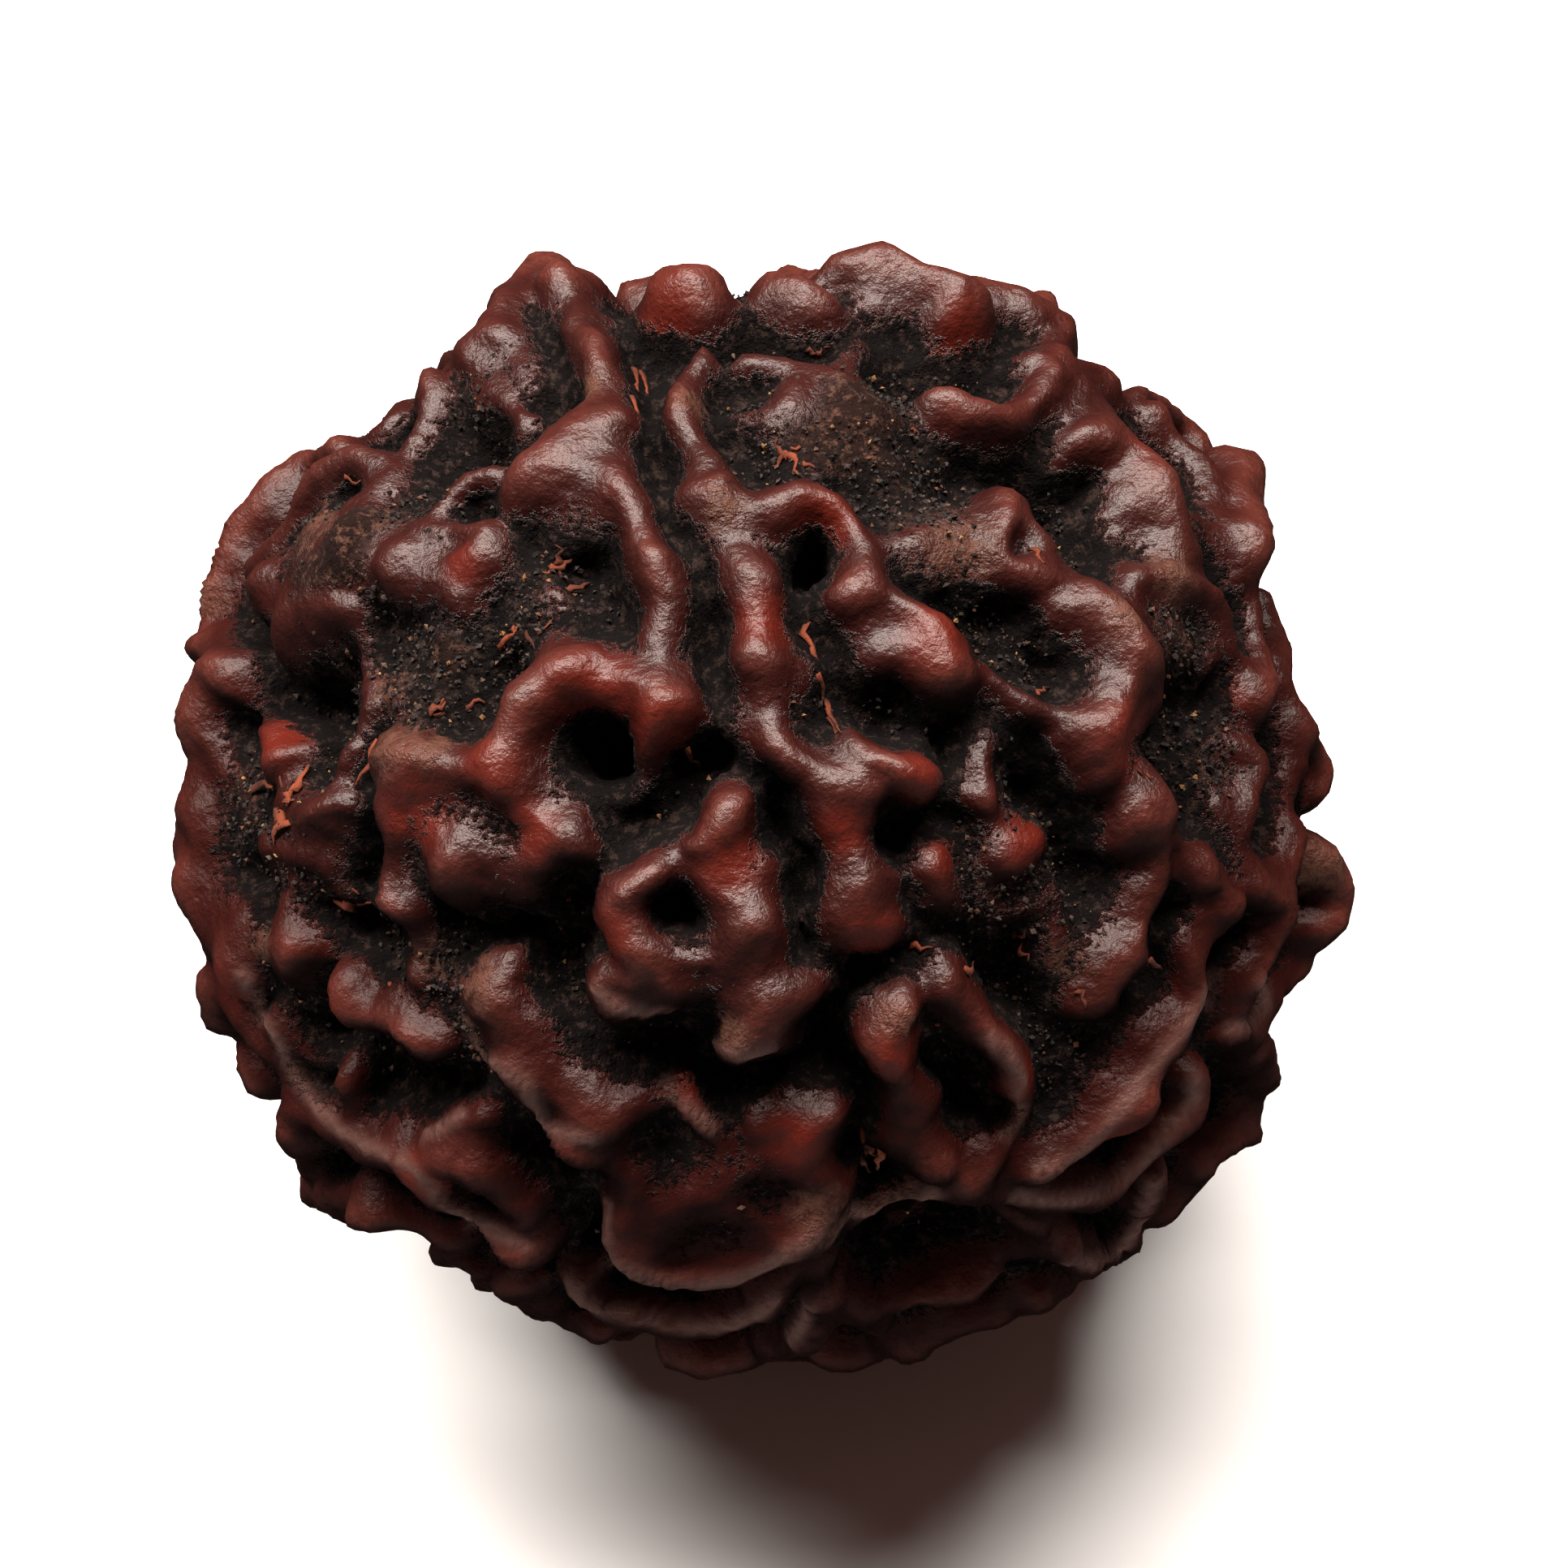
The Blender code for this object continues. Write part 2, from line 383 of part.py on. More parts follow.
def ripple(ways, wavelength, seed):
    """Soft waves over the bead about as high as one, a wavelength in millimetres apart."""
    draw = np.random.default_rng(seed)
    courses = unit(draw.normal(size=(16, 3)))
    turns = 2 * math.pi * CORE_RADIUS / wavelength * draw.uniform(0.7, 1.3, 16)
    phases = draw.uniform(0.0, 2 * math.pi, 16)
    return np.sin((ways @ courses.T) * turns + phases).sum(axis=1) / math.sqrt(8.0)


def line_gap(ways, line):
    """Distance along the surface to a bare line."""
    plain = np.zeros(len(line))
    return side_gap(ways, line, plain, plain)[0]


def core_level(ways):
    """Height of the ground between the ridges, with the furrows cut into it."""
    level = CORE_RADIUS + 0.1 * ripple(ways, 3.2, 11) + 0.06 * ripple(ways, 1.3, 12)
    for x, y, radius, rise in PLATEAUS:
        gap = np.linalg.norm(ways - on_bead(x, y, CORE_RADIUS + rise), axis=1) * CREST_RADIUS
        level += rise * np.exp(-((gap / radius) ** 4))
    for line in furrows():
        level = level - FURROW_DEPTH * np.exp(-((line_gap(ways, line) / FURROW_HALF) ** 2))
    return level


def sunken(ways):
    """How far the surface sinks at the deep hollows and at the two mouths of the hole."""
    depth = np.zeros(len(ways))
    for x, y, radius, fall in HOLLOWS:
        gap = np.linalg.norm(ways - on_bead(x, y, CORE_RADIUS + 0.5), axis=1) * CREST_RADIUS
        depth += fall * np.exp(-((gap / radius) ** 2))
    pole = furrow_frame()[0]
    for mouth in (pole, -pole):
        gap = np.linalg.norm(ways - mouth, axis=1) * CORE_RADIUS
        depth += MOUTH_DEPTH * np.clip(1.0 - (gap / MOUTH_RADIUS) ** 2, 0.0, 1.0)
    return depth


def bead_radii(ways, ridges):
    """Outermost radius of the blended core and ridges along each direction."""
    index, gap, width, height = under_ridges(ways, ridges)
    level = core_level(ways)
    fall = sunken(ways)
    swell = CREST_WAVES * ripple(ways, 1.7, 13)
    edge = np.minimum(width, EDGE_ROUND)
    crown = CREST_DOME * width * np.minimum(gap / width, 1.2) ** 2
    top = CORE_RADIUS + height + swell[index] - crown

    def outside(radius):
        lifted = radius + fall
        own = lifted[index]
        wall = width + WALL_FLARE * np.maximum(top - edge - own, 0.0)
        across = np.maximum(gap - wall + edge, 0.0)
        above = np.maximum(own - top + edge, 0.0)
        near = np.exp(-(np.hypot(across, above) - edge) / BLEND)
        total = np.bincount(index, weights=near, minlength=len(ways))
        return -BLEND * np.log(total + np.exp(-(lifted - level) / BLEND))

    radius = np.full(len(ways), CORE_RADIUS + 2.6)
    found = np.full(len(ways), CORE_RADIUS - 2.0)
    open_way = np.ones(len(ways), dtype=bool)
    before = outside(radius)
    for _ in range(46):
        lower = radius - 0.1
        after = outside(lower)
        crossed = open_way & (after <= 0.0)
        share = before / np.maximum(before - after, 1e-9)
        found = np.where(crossed, radius - 0.1 * share, found)
        open_way &= ~crossed
        radius = lower
        before = after
    return found


def mouth_lips():
    """Low rings of wood round the two mouths of the hole."""
    pole, front, side = furrow_frame()
    lean = LIP_RADIUS / CORE_RADIUS
    rings = []
    for mouth in (pole, -pole):
        around = np.linspace(0.0, 2 * math.pi, 17)[:, None]
        ring = mouth + lean * (np.cos(around) * front + np.sin(around) * side)
        rings.append((unit(ring), ends(LIP_HALF, len(ring)), ends(LIP_HEIGHT, len(ring))))
    return rings


def resting_knobs():
    """The knob below the bead's centre and the three round it that it stands on."""
    knobs = []
    for place in range(4):
        spread = KNOB_SPREAD / CREST_RADIUS if place else 0.0
        around = 2 * math.pi * place / 3 + 0.5
        middle = np.array([spread * math.cos(around), spread * math.sin(around), -1.0])
        reach = np.array([0.03, 0.02, 0.0])
        line = unit([middle - reach, middle + reach])
        knobs.append((line, ends(KNOB_HALF, 2), ends(KNOB_HEIGHT, 2)))
    return knobs


def turned_ridges(drawn, kept):
    """The same growth turned and flipped onto the back, each place from where it was seen best."""
    pole, front, side = furrow_frame()
    toward = drawing_axes()[2]
    turns = [turn(pole, 2 * math.pi * k / FACES) for k in range(1, FACES)]
    for k in range(FACES):
        lean = math.pi * k / FACES
        turns.append(turn(math.cos(lean) * front + math.sin(lean) * side, math.pi))
    draw = random.Random(108)
    edge_nodes = np.concatenate([nodes for nodes, _, _ in kept])
    edge_widths = np.concatenate([widths for _, widths, _ in kept])
    placed = []
    for which, turned in enumerate(turns):
        for nodes, half_widths, heights in drawn:
            moved = nodes @ turned
            jitter = turn(unit([draw.gauss(0, 1) for _ in range(3)]), math.radians(draw.uniform(0.0, 2.0)))
            moved = moved @ jitter
            middle = unit(moved.mean(axis=0))
            seen = [toward @ (middle @ other.T) for other in turns]
            scale = draw.uniform(0.88, 1.12)
            lift = draw.uniform(0.9, 1.06)
            if int(np.argmax(seen)) != which or (moved @ toward).max() > 0.0:
                continue
            spread = np.linalg.norm(moved[:, None] - edge_nodes[None], axis=2) * CREST_RADIUS
            if (spread - 0.8 * (half_widths.max() + edge_widths)[None]).min() < 0.0:
                continue
            placed.append((moved, half_widths * scale, np.minimum(heights * lift, 2.0)))
    return placed


def crest_points(ridges):
    """Closely spaced points along the crests with the half width at each."""
    points = []
    widths = []
    for nodes, half_widths, _ in ridges:
        for i in range(len(nodes) - 1):
            steps = max(2, int(np.linalg.norm(nodes[i + 1] - nodes[i]) * CREST_RADIUS / 0.25))
            share = np.linspace(0.0, 1.0, steps)[:, None]
            points.append(nodes[i] + share * (nodes[i + 1] - nodes[i]))
            widths.append(half_widths[i] + share[:, 0] * (half_widths[i + 1] - half_widths[i]))
    return np.concatenate(points), np.concatenate(widths)


def winding_ridges(kept):
    """Short winding ridges grown from a seeded draw wherever bare ground is left on the hidden side."""
    draw = random.Random(27)
    toward = drawing_axes()[2]
    beds = np.concatenate([line for line in furrows()])
    points, widths = crest_points(kept)
    grown = []

    def room(way):
        to_crests = np.linalg.norm(points - way, axis=1) * CREST_RADIUS - widths
        to_furrows = np.linalg.norm(beds - way, axis=1) * CREST_RADIUS - FURROW_ROOM
        return min(to_crests.min(), to_furrows.min())

    for _ in range(WIND_STARTS):
        way = unit([draw.gauss(0, 1) for _ in range(3)])
        half = draw.uniform(0.34, 0.6)
        heading = unit(np.cross(way, [draw.gauss(0, 1) for _ in range(3)]))
        bend = draw.uniform(-0.5, 0.5)
        steps = draw.randint(2, 9)
        height = draw.uniform(1.45, 1.95)
        if toward @ way > 0.1 or room(way) < half + WIND_START_ROOM:
            continue
        line = [way]
        for _ in range(steps):
            heading = heading @ turn(way, bend + draw.uniform(-0.5, 0.5))
            way = unit(way + heading * WIND_STEP / CREST_RADIUS)
            heading = unit(heading - (heading @ way) * way)
            if room(way) < half + WIND_ROOM or toward @ way > 0.12:
                break
            line.append(way)
        if len(line) < 2:
            line.append(unit(line[0] + heading * 0.1 / CREST_RADIUS))
        halves = ends((half, half * 0.8), len(line))
        heights = ends((height, height * 0.9), len(line))
        ridge = (np.array(line), halves, heights)
        grown.append(ridge)
        new_points, new_widths = crest_points([ridge])
        points = np.concatenate([points, new_points])
        widths = np.concatenate([widths, new_widths])
    return grown


def behind_outline(ridges):
    """Ridges of the hidden side, low enough near the outline not to change it."""
    toward = drawing_axes()[2]
    lowered = []
    for nodes, half_widths, heights in ridges:
        behind = np.maximum(-(nodes @ toward) - 0.05, 0.0)
        lowered.append((nodes, half_widths, np.minimum(heights, OUTLINE_HEIGHT + OUTLINE_RISE * behind)))
    return lowered


def all_ridges():
    """Every ridge of the bead, front and back."""
    drawn = drawn_ridges()
    kept = drawn + mouth_lips() + resting_knobs()
    kept += behind_outline(turned_ridges(drawn, kept))
    kept += behind_outline(winding_ridges(kept))
    return kept


def quad_sphere(cells):
    """Even grid of quads on a ball of radius one, with two of its six sides centred on the poles."""
    shape = bmesh.new()
    bmesh.ops.create_cube(shape, size=2.0)
    bmesh.ops.subdivide_edges(shape, edges=shape.edges[:], cuts=cells - 1, use_grid_fill=True)
    pole, front, side = furrow_frame()
    for vertex in shape.verts:
        across, along, up = (math.tan(value * math.pi / 4) for value in vertex.co)
        vertex.co = unit(across * side + along * front + up * pole)
    return shape


def bead_material():
    """Dark red-brown woody shell with a waxy gloss."""
    material = bpy.data.materials.new("rudraksha_stone")
    material.use_nodes = True
    shader = material.node_tree.nodes["Principled BSDF"]
    shader.inputs["Base Color"].default_value = (0.085, 0.022, 0.016, 1.0)
    shader.inputs["Roughness"].default_value = 0.38
    shader.inputs["Metallic"].default_value = 0.0
    return material


def bead_body(parts):
    """The ridged stone, before its hole and resting spot are cut."""
    ridges = all_ridges()
    shape = quad_sphere(GRID_CELLS)
    ways = unit([tuple(vertex.co) for vertex in shape.verts])
    points = ways * bead_radii(ways, ridges)[:, None]
    middle = (points.min(axis=0) + points.max(axis=0)) / 2
    shift = np.array([-middle[0], -middle[1], REST_DEPTH])
    for vertex, point in zip(shape.verts, points):
        vertex.co = (point + shift) * MM
    mesh = bpy.data.meshes.new("rudraksha_bead")
    shape.to_mesh(mesh)
    shape.free()
    bead = bpy.data.objects.new("rudraksha_bead", mesh)
    parts.objects.link(bead)
    mesh.materials.append(bead_material())
    mesh.shade_smooth()
    thin = bead.modifiers.new("fewer_faces", "DECIMATE")
    thin.ratio = TRIANGLES / (2 * len(mesh.polygons))
    return bead, shift


def cut(bead, cutter, name):
    """Take a cutter's shape out of the bead."""
    boolean = bead.modifiers.new(name, "BOOLEAN")
    boolean.operation = "DIFFERENCE"
    boolean.object = cutter
    cutter.hide_render = True
    cutter.display_type = "WIRE"


def solid_cutter(shape, name, cutters):
    """A cutter object from a finished bmesh."""
    mesh = bpy.data.meshes.new(name)
    shape.to_mesh(mesh)
    shape.free()
    cutter = bpy.data.objects.new(name, mesh)
    cutters.objects.link(cutter)
    return cutter


def thread_hole(shift, cutters):
    """The natural hole that a thread follows from pole to pole."""
    pole = furrow_frame()[0]
    shape = bmesh.new()
    radius = HOLE_RADIUS * MM
    length = 3 * CORE_RADIUS * MM
    bmesh.ops.create_cone(
        shape, cap_ends=True, segments=HOLE_SIDES, radius1=radius, radius2=radius, depth=length
    )
    place = Matrix.Translation(shift * MM) @ Vector(pole).to_track_quat("Z", "Y").to_matrix().to_4x4()
    bmesh.ops.transform(shape, matrix=place, verts=shape.verts[:])
    return solid_cutter(shape, "hole_cutter", cutters)


def resting_spot(cutters):
    """The block below the small flat spot that the bead rests on."""
    shape = bmesh.new()
    bmesh.ops.create_cube(shape, size=2 * CORE_RADIUS * MM)
    bmesh.ops.translate(shape, vec=(0.0, 0.0, -CORE_RADIUS * MM), verts=shape.verts[:])
    return solid_cutter(shape, "rest_cutter", cutters)


def build():
    """The whole bead."""
    for thing in list(bpy.data.objects):
        bpy.data.objects.remove(thing)
    parts = bpy.data.collections.new("rudraksha_bead")
    cutters = bpy.data.collections.new("cutters")
    bpy.context.scene.collection.children.link(parts)
    bpy.context.scene.collection.children.link(cutters)
    bead, shift = bead_body(parts)
    cut(bead, thread_hole(shift, cutters), "thread_hole")
    cut(bead, resting_spot(cutters), "resting_spot")


build()
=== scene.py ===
"""Looks of a rudraksha bead: a five-faced stone with waxed ridges, sooty hollows and shreds of pulp."""

import math
import random

import bmesh
import bpy
import numpy as np
from mathutils import Matrix, Vector, noise
from mathutils.bvhtree import BVHTree


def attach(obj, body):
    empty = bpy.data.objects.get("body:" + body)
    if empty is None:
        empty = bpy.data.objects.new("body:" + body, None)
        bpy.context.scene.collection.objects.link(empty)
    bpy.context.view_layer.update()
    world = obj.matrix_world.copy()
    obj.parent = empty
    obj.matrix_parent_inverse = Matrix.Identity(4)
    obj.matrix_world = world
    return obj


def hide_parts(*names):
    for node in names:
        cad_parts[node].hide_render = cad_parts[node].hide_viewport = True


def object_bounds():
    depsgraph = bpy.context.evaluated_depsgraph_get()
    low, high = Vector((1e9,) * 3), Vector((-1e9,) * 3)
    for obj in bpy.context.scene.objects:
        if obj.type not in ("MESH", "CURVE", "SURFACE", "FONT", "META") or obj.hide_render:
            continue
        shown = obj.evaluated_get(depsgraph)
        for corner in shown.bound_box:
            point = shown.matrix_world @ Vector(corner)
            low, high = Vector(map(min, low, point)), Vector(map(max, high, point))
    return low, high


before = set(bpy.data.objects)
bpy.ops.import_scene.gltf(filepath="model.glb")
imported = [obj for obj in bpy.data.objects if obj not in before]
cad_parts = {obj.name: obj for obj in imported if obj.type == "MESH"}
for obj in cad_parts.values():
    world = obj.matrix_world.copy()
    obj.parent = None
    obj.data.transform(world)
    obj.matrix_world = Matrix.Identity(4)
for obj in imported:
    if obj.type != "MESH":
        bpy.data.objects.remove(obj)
cad_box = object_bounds()

# The stone
# The hard stone of the fruit, grown as one woody piece: five faces parted by furrows, every face a
# maze of ridges and knobs. Handling and oil have waxed the ridges; old pulp and soot fill the hollows.

# Sizes are in millimetres. Ridges stand on a round core, and widths are measured at the crests.
MM = 0.001
CORE_RADIUS = 9.0
CREST_RADIUS = 10.2
CREST_INSET = 0.28
FACES = 5

# The middle's height above the floor, and how steeply and from how far it is seen
REST_DEPTH = 10.55
SIGHT_RISE = 50.0
EYE_DISTANCE = 109.5

# The bead's axis and its main furrow on the upright drawing of its front: right, up, towards the eye
AXIS_ON_DRAWING = (0.30, -0.77, 0.56)
FURROW_ON_DRAWING = (-0.219, 0.514, 0.829)

# Main furrow on the drawing, from the top edge down to the hole
MAIN_FURROW = [
    (-2.7, 9.6), (-2.3, 8.8), (-2.0, 7.6), (-1.75, 6.2), (-1.5, 5.0), (-1.3, 4.0), (-1.1, 3.0),
    (-1.0, 2.0), (-0.7, 1.1), (-0.2, 0.4), (0.3, -0.4), (0.6, -1.4), (0.85, -2.6), (1.35, -3.8),
    (1.6, -5.0), (1.9, -6.2), (2.1, -7.0),
]

# Right-hand furrow on the drawing
RIGHT_FURROW = [
    (6.3, 7.5), (7.9, 6.9), (8.35, 6.0), (8.6, 4.9), (9.25, 3.4), (9.3, 1.6), (9.2, 0.2),
    (8.9, -0.9), (8.9, -2.4), (8.5, -4.0),
]

# Each ridge: crest height above the core, half width, then its crest line on the drawing.
# A pair gives the value at the two ends.
UPPER_LEFT = [
    (1.95, 0.5, [(-4.9, 8.9), (-4.6, 9.5), (-4.0, 9.95), (-3.5, 9.75)]),
    (1.75, 0.42, [(-4.6, 9.0), (-4.2, 9.4), (-3.7, 9.45), (-3.3, 9.15), (-3.05, 8.7)]),
    ((1.6, 1.9), (0.3, 0.62), [(-2.95, 8.6), (-3.0, 7.9), (-3.15, 7.2), (-3.4, 6.7)]),
    (1.95, (0.7, 0.78), [(-3.4, 6.75), (-4.1, 6.25)]),
    ((1.8, 1.65), (0.5, 0.3), [(-2.95, 6.9), (-2.75, 6.3), (-2.5, 5.7), (-2.2, 5.1), (-1.95, 4.5)]),
    (1.6, 0.5, [(-3.2, 6.1), (-2.9, 5.7)]),
    (1.65, 0.28, [(-1.95, 4.5), (-1.8, 3.8), (-1.8, 3.1), (-1.8, 2.6)]),
    (1.5, 0.3, [(-6.35, 6.9), (-6.0, 7.5), (-5.95, 8.0), (-5.5, 8.25), (-5.0, 8.1)]),
    (1.25, 0.35, [(-6.0, 8.2), (-5.5, 8.3), (-5.1, 8.5)]),
    (1.3, 0.28, [(-4.95, 8.0), (-4.65, 7.6), (-4.35, 7.15)]),
    (1.1, 0.22, [(-4.2, 8.0), (-4.05, 7.6)]),
    (1.5, 0.28, [(-4.9, 6.2), (-5.4, 5.95), (-5.85, 5.5), (-6.1, 5.15), (-5.6, 5.15), (-5.0, 4.95)]),
    (1.6, 0.65, [(-6.4, 4.5), (-5.9, 4.45), (-5.45, 4.35)]),
    (1.4, 0.35, [(-6.6, 7.4), (-6.9, 7.0), (-7.3, 6.7)]),
    (1.6, (1.0, 1.15), [(-7.1, 5.8), (-7.8, 5.2), (-8.5, 4.5)]),
    (1.8, 0.36, [(-7.2, 6.5), (-7.9, 6.2), (-8.4, 5.7), (-9.0, 5.0), (-9.5, 4.4)]),
    (1.7, 0.75, [(-9.0, 4.1), (-8.9, 3.6)]),
    (1.5, 0.6, [(-8.4, 3.4), (-7.8, 3.7)]),
    (1.7, 0.42, [(-7.9, 6.75), (-8.5, 6.3), (-8.9, 5.7)]),
    (2.1, 0.35, [(-9.3, 5.95), (-9.5, 5.3), (-9.9, 4.7)]),
    (1.95, 0.42, [(-10.1, 4.2), (-10.3, 3.6), (-10.25, 3.1), (-10.0, 2.6)]),
    (1.3, 0.65, [(-7.5, 4.7), (-6.9, 4.6), (-6.3, 4.6)]),
    (1.0, 0.4, [(-7.3, 3.9), (-7.1, 3.2), (-6.95, 2.5), (-7.0, 1.8)]),
    (1.1, 0.22, [(-3.6, 4.0), (-3.35, 3.5), (-3.45, 2.9)]),
]

MIDDLE_LEFT = [
    (2.1, 0.85, [(-10.4, 2.2), (-10.55, 1.2), (-10.6, 0.2), (-10.6, -0.7)]),
    (1.5, 0.45, [(-9.2, 1.6), (-9.1, 1.0)]),
    (1.3, 0.42, [(-8.7, 0.2), (-8.0, 0.0), (-7.5, 0.1)]),
    (1.4, 0.5, [(-9.0, -0.8), (-8.4, -0.8), (-7.9, -1.0)]),
    (1.0, 0.16, [(-7.1, 1.2), (-7.35, 0.8), (-7.5, 0.3)]),
    (2.05, (0.85, 0.6), [(-10.6, -0.7), (-10.45, -1.5), (-10.15, -2.2), (-9.8, -2.75)]),
    (1.6, 0.62, [(-9.2, -2.55), (-8.8, -2.6), (-8.5, -2.4)]),
    (1.9, 0.4, [(-6.9, 1.05), (-6.1, 0.95), (-5.4, 0.95), (-4.8, 1.25), (-4.3, 1.75), (-3.85, 2.25),
            (-3.5, 2.65)]),
    (1.9, 0.42, [(-3.5, 2.6), (-3.0, 2.35), (-2.5, 2.35), (-2.05, 2.3), (-1.75, 1.95)]),
    ((1.7, 0.9), (0.42, 0.3), [(-1.75, 1.95), (-1.75, 1.4), (-1.95, 0.8), (-2.2, 0.3)]),
    (1.6, 0.4, [(-4.0, 1.5), (-3.95, 0.8), (-3.8, 0.2)]),
    (1.95, 0.48, [(-4.8, 0.8), (-4.5, 0.2), (-4.0, -0.2), (-3.6, -0.35)]),
    (1.85, 0.95, [(-6.1, 0.2), (-5.9, -0.3), (-5.4, -0.8)]),
    (1.75, 0.5, [(-6.5, 0.3), (-6.65, -0.4), (-6.85, -1.1), (-6.9, -1.6)]),
    (1.6, 0.68, [(-5.4, -0.9), (-4.9, -1.1), (-4.3, -1.05)]),
]

LOWER_LEFT = [
    (1.3, 0.3, [(-6.2, -2.4), (-6.15, -3.0)]),
    (1.7, (0.4, 0.3), [(-7.7, -3.55), (-7.2, -3.7), (-6.6, -4.0), (-6.0, -4.3)]),
    (1.75, 0.42, [(-9.75, -3.0), (-9.5, -3.6), (-9.1, -4.2), (-8.8, -4.8), (-8.4, -5.4), (-7.9, -5.85)]),
    (1.75, 0.42, [(-7.9, -5.85), (-7.2, -6.15), (-6.6, -6.3)]),
    (1.5, 0.5, [(-8.7, -3.9), (-8.3, -4.5)]),
    (1.5, 0.45, [(-7.6, -5.0), (-7.4, -5.4)]),
    (2.1, 0.42, [(-10.15, -3.2), (-10.05, -3.8)]),
    (1.8, 0.35, [(-9.5, -4.4), (-9.2, -4.9)]),
    (1.95, 0.52, [(-8.6, -5.8), (-8.5, -6.4), (-8.2, -6.9), (-7.6, -7.3), (-7.0, -7.4)]),
    (1.7, 0.4, [(-7.2, -6.95), (-6.9, -7.3), (-6.4, -7.6), (-5.8, -8.0)]),
    (1.8, 0.72, [(-5.5, -6.5), (-4.9, -6.9), (-4.4, -7.3)]),
    (1.6, 0.25, [(-6.0, -6.2), (-5.6, -5.85), (-5.1, -5.6)]),
    (1.85, 0.36, [(-6.2, -6.7), (-5.9, -7.2), (-5.3, -7.55), (-4.7, -7.85), (-4.2, -8.05)]),
    (1.4, 0.45, [(-5.8, -8.2), (-5.1, -8.5)]),
    (1.5, 0.5, [(-4.3, -8.8), (-4.0, -9.2), (-3.5, -9.5), (-2.9, -9.6)]),
    (1.8, 0.65, [(-4.9, -3.0), (-4.8, -3.8), (-4.5, -4.4)]),
    (1.65, 0.68, [(-4.0, -4.9), (-3.3, -5.4), (-2.6, -5.6)]),
    (1.75, 0.22, [(-4.2, -4.95), (-4.15, -5.5), (-3.7, -5.95), (-3.0, -6.15)]),
]

MIDDLE = [
    (1.9, (0.38, 0.6), [(-0.55, 0.1), (-0.6, -0.6), (-0.5, -1.3), (-0.35, -2.1)]),
    (1.9, (0.6, 0.75), [(-0.35, -2.1), (-0.15, -2.9), (0.15, -3.5)]),
    (1.9, (0.42, 0.26), [(-0.75, -0.35), (-1.1, -0.75)]),
    (1.9, 0.32, [(-2.05, -1.35), (-2.3, -1.5), (-2.6, -1.75)]),
    (1.85, 0.48, [(-2.4, -1.85), (-2.15, -2.45), (-1.85, -3.0), (-1.6, -3.4)]),
    (1.8, 0.45, [(-1.9, -2.6), (-1.3, -2.7), (-0.6, -2.7)]),
    (1.65, 0.4, [(-1.5, -3.2), (-0.7, -3.3), (-0.1, -3.5)]),
    (1.75, (0.62, 0.42), [(0.3, -3.5), (0.1, -3.95), (-0.35, -4.15)]),
    (1.5, 0.33, [(-2.9, -3.1), (-2.7, -3.4), (-2.3, -3.5)]),
    (1.3, 0.22, [(-1.5, -5.0), (-1.2, -5.45), (-0.85, -5.85), (-0.65, -6.3), (-0.6, -7.0)]),
    (1.6, 0.35, [(0.0, -5.8), (0.5, -5.6), (1.0, -6.0)]),
    (1.85, 0.48, [(0.9, -6.1), (1.15, -6.8), (1.1, -7.4), (0.5, -7.95)]),
    (1.9, 0.5, [(0.5, -7.95), (-0.4, -8.35), (-1.3, -8.5), (-2.1, -8.25)]),
    (1.85, 0.4, [(-2.1, -8.25), (-2.5, -7.8), (-2.5, -7.2), (-2.45, -6.7)]),
    (1.65, 0.7, [(0.4, -6.6), (0.2, -7.3), (-0.7, -7.7), (-1.6, -7.6)]),
    (1.6, 0.75, [(-0.5, -6.9), (-1.4, -7.0), (-1.9, -7.2)]),
    (1.5, 0.42, [(-3.4, -8.6), (-3.1, -9.1), (-2.2, -9.3), (-1.2, -9.45), (-0.3, -9.3), (0.2, -8.9),
            (0.6, -8.5)]),
    (1.45, 0.45, [(-1.8, -10.0), (-0.8, -10.1), (0.2, -10.1), (0.8, -9.7), (1.1, -9.1)]),
    (1.5, 0.45, [(1.3, -10.2), (2.2, -10.05), (3.0, -9.75), (3.9, -9.4), (4.5, -9.2)]),
    (1.5, 0.5, [(5.0, -8.85), (5.7, -8.6), (6.2, -8.3)]),
    (1.0, 0.42, [(1.6, -8.9), (2.2, -9.3)]),
]

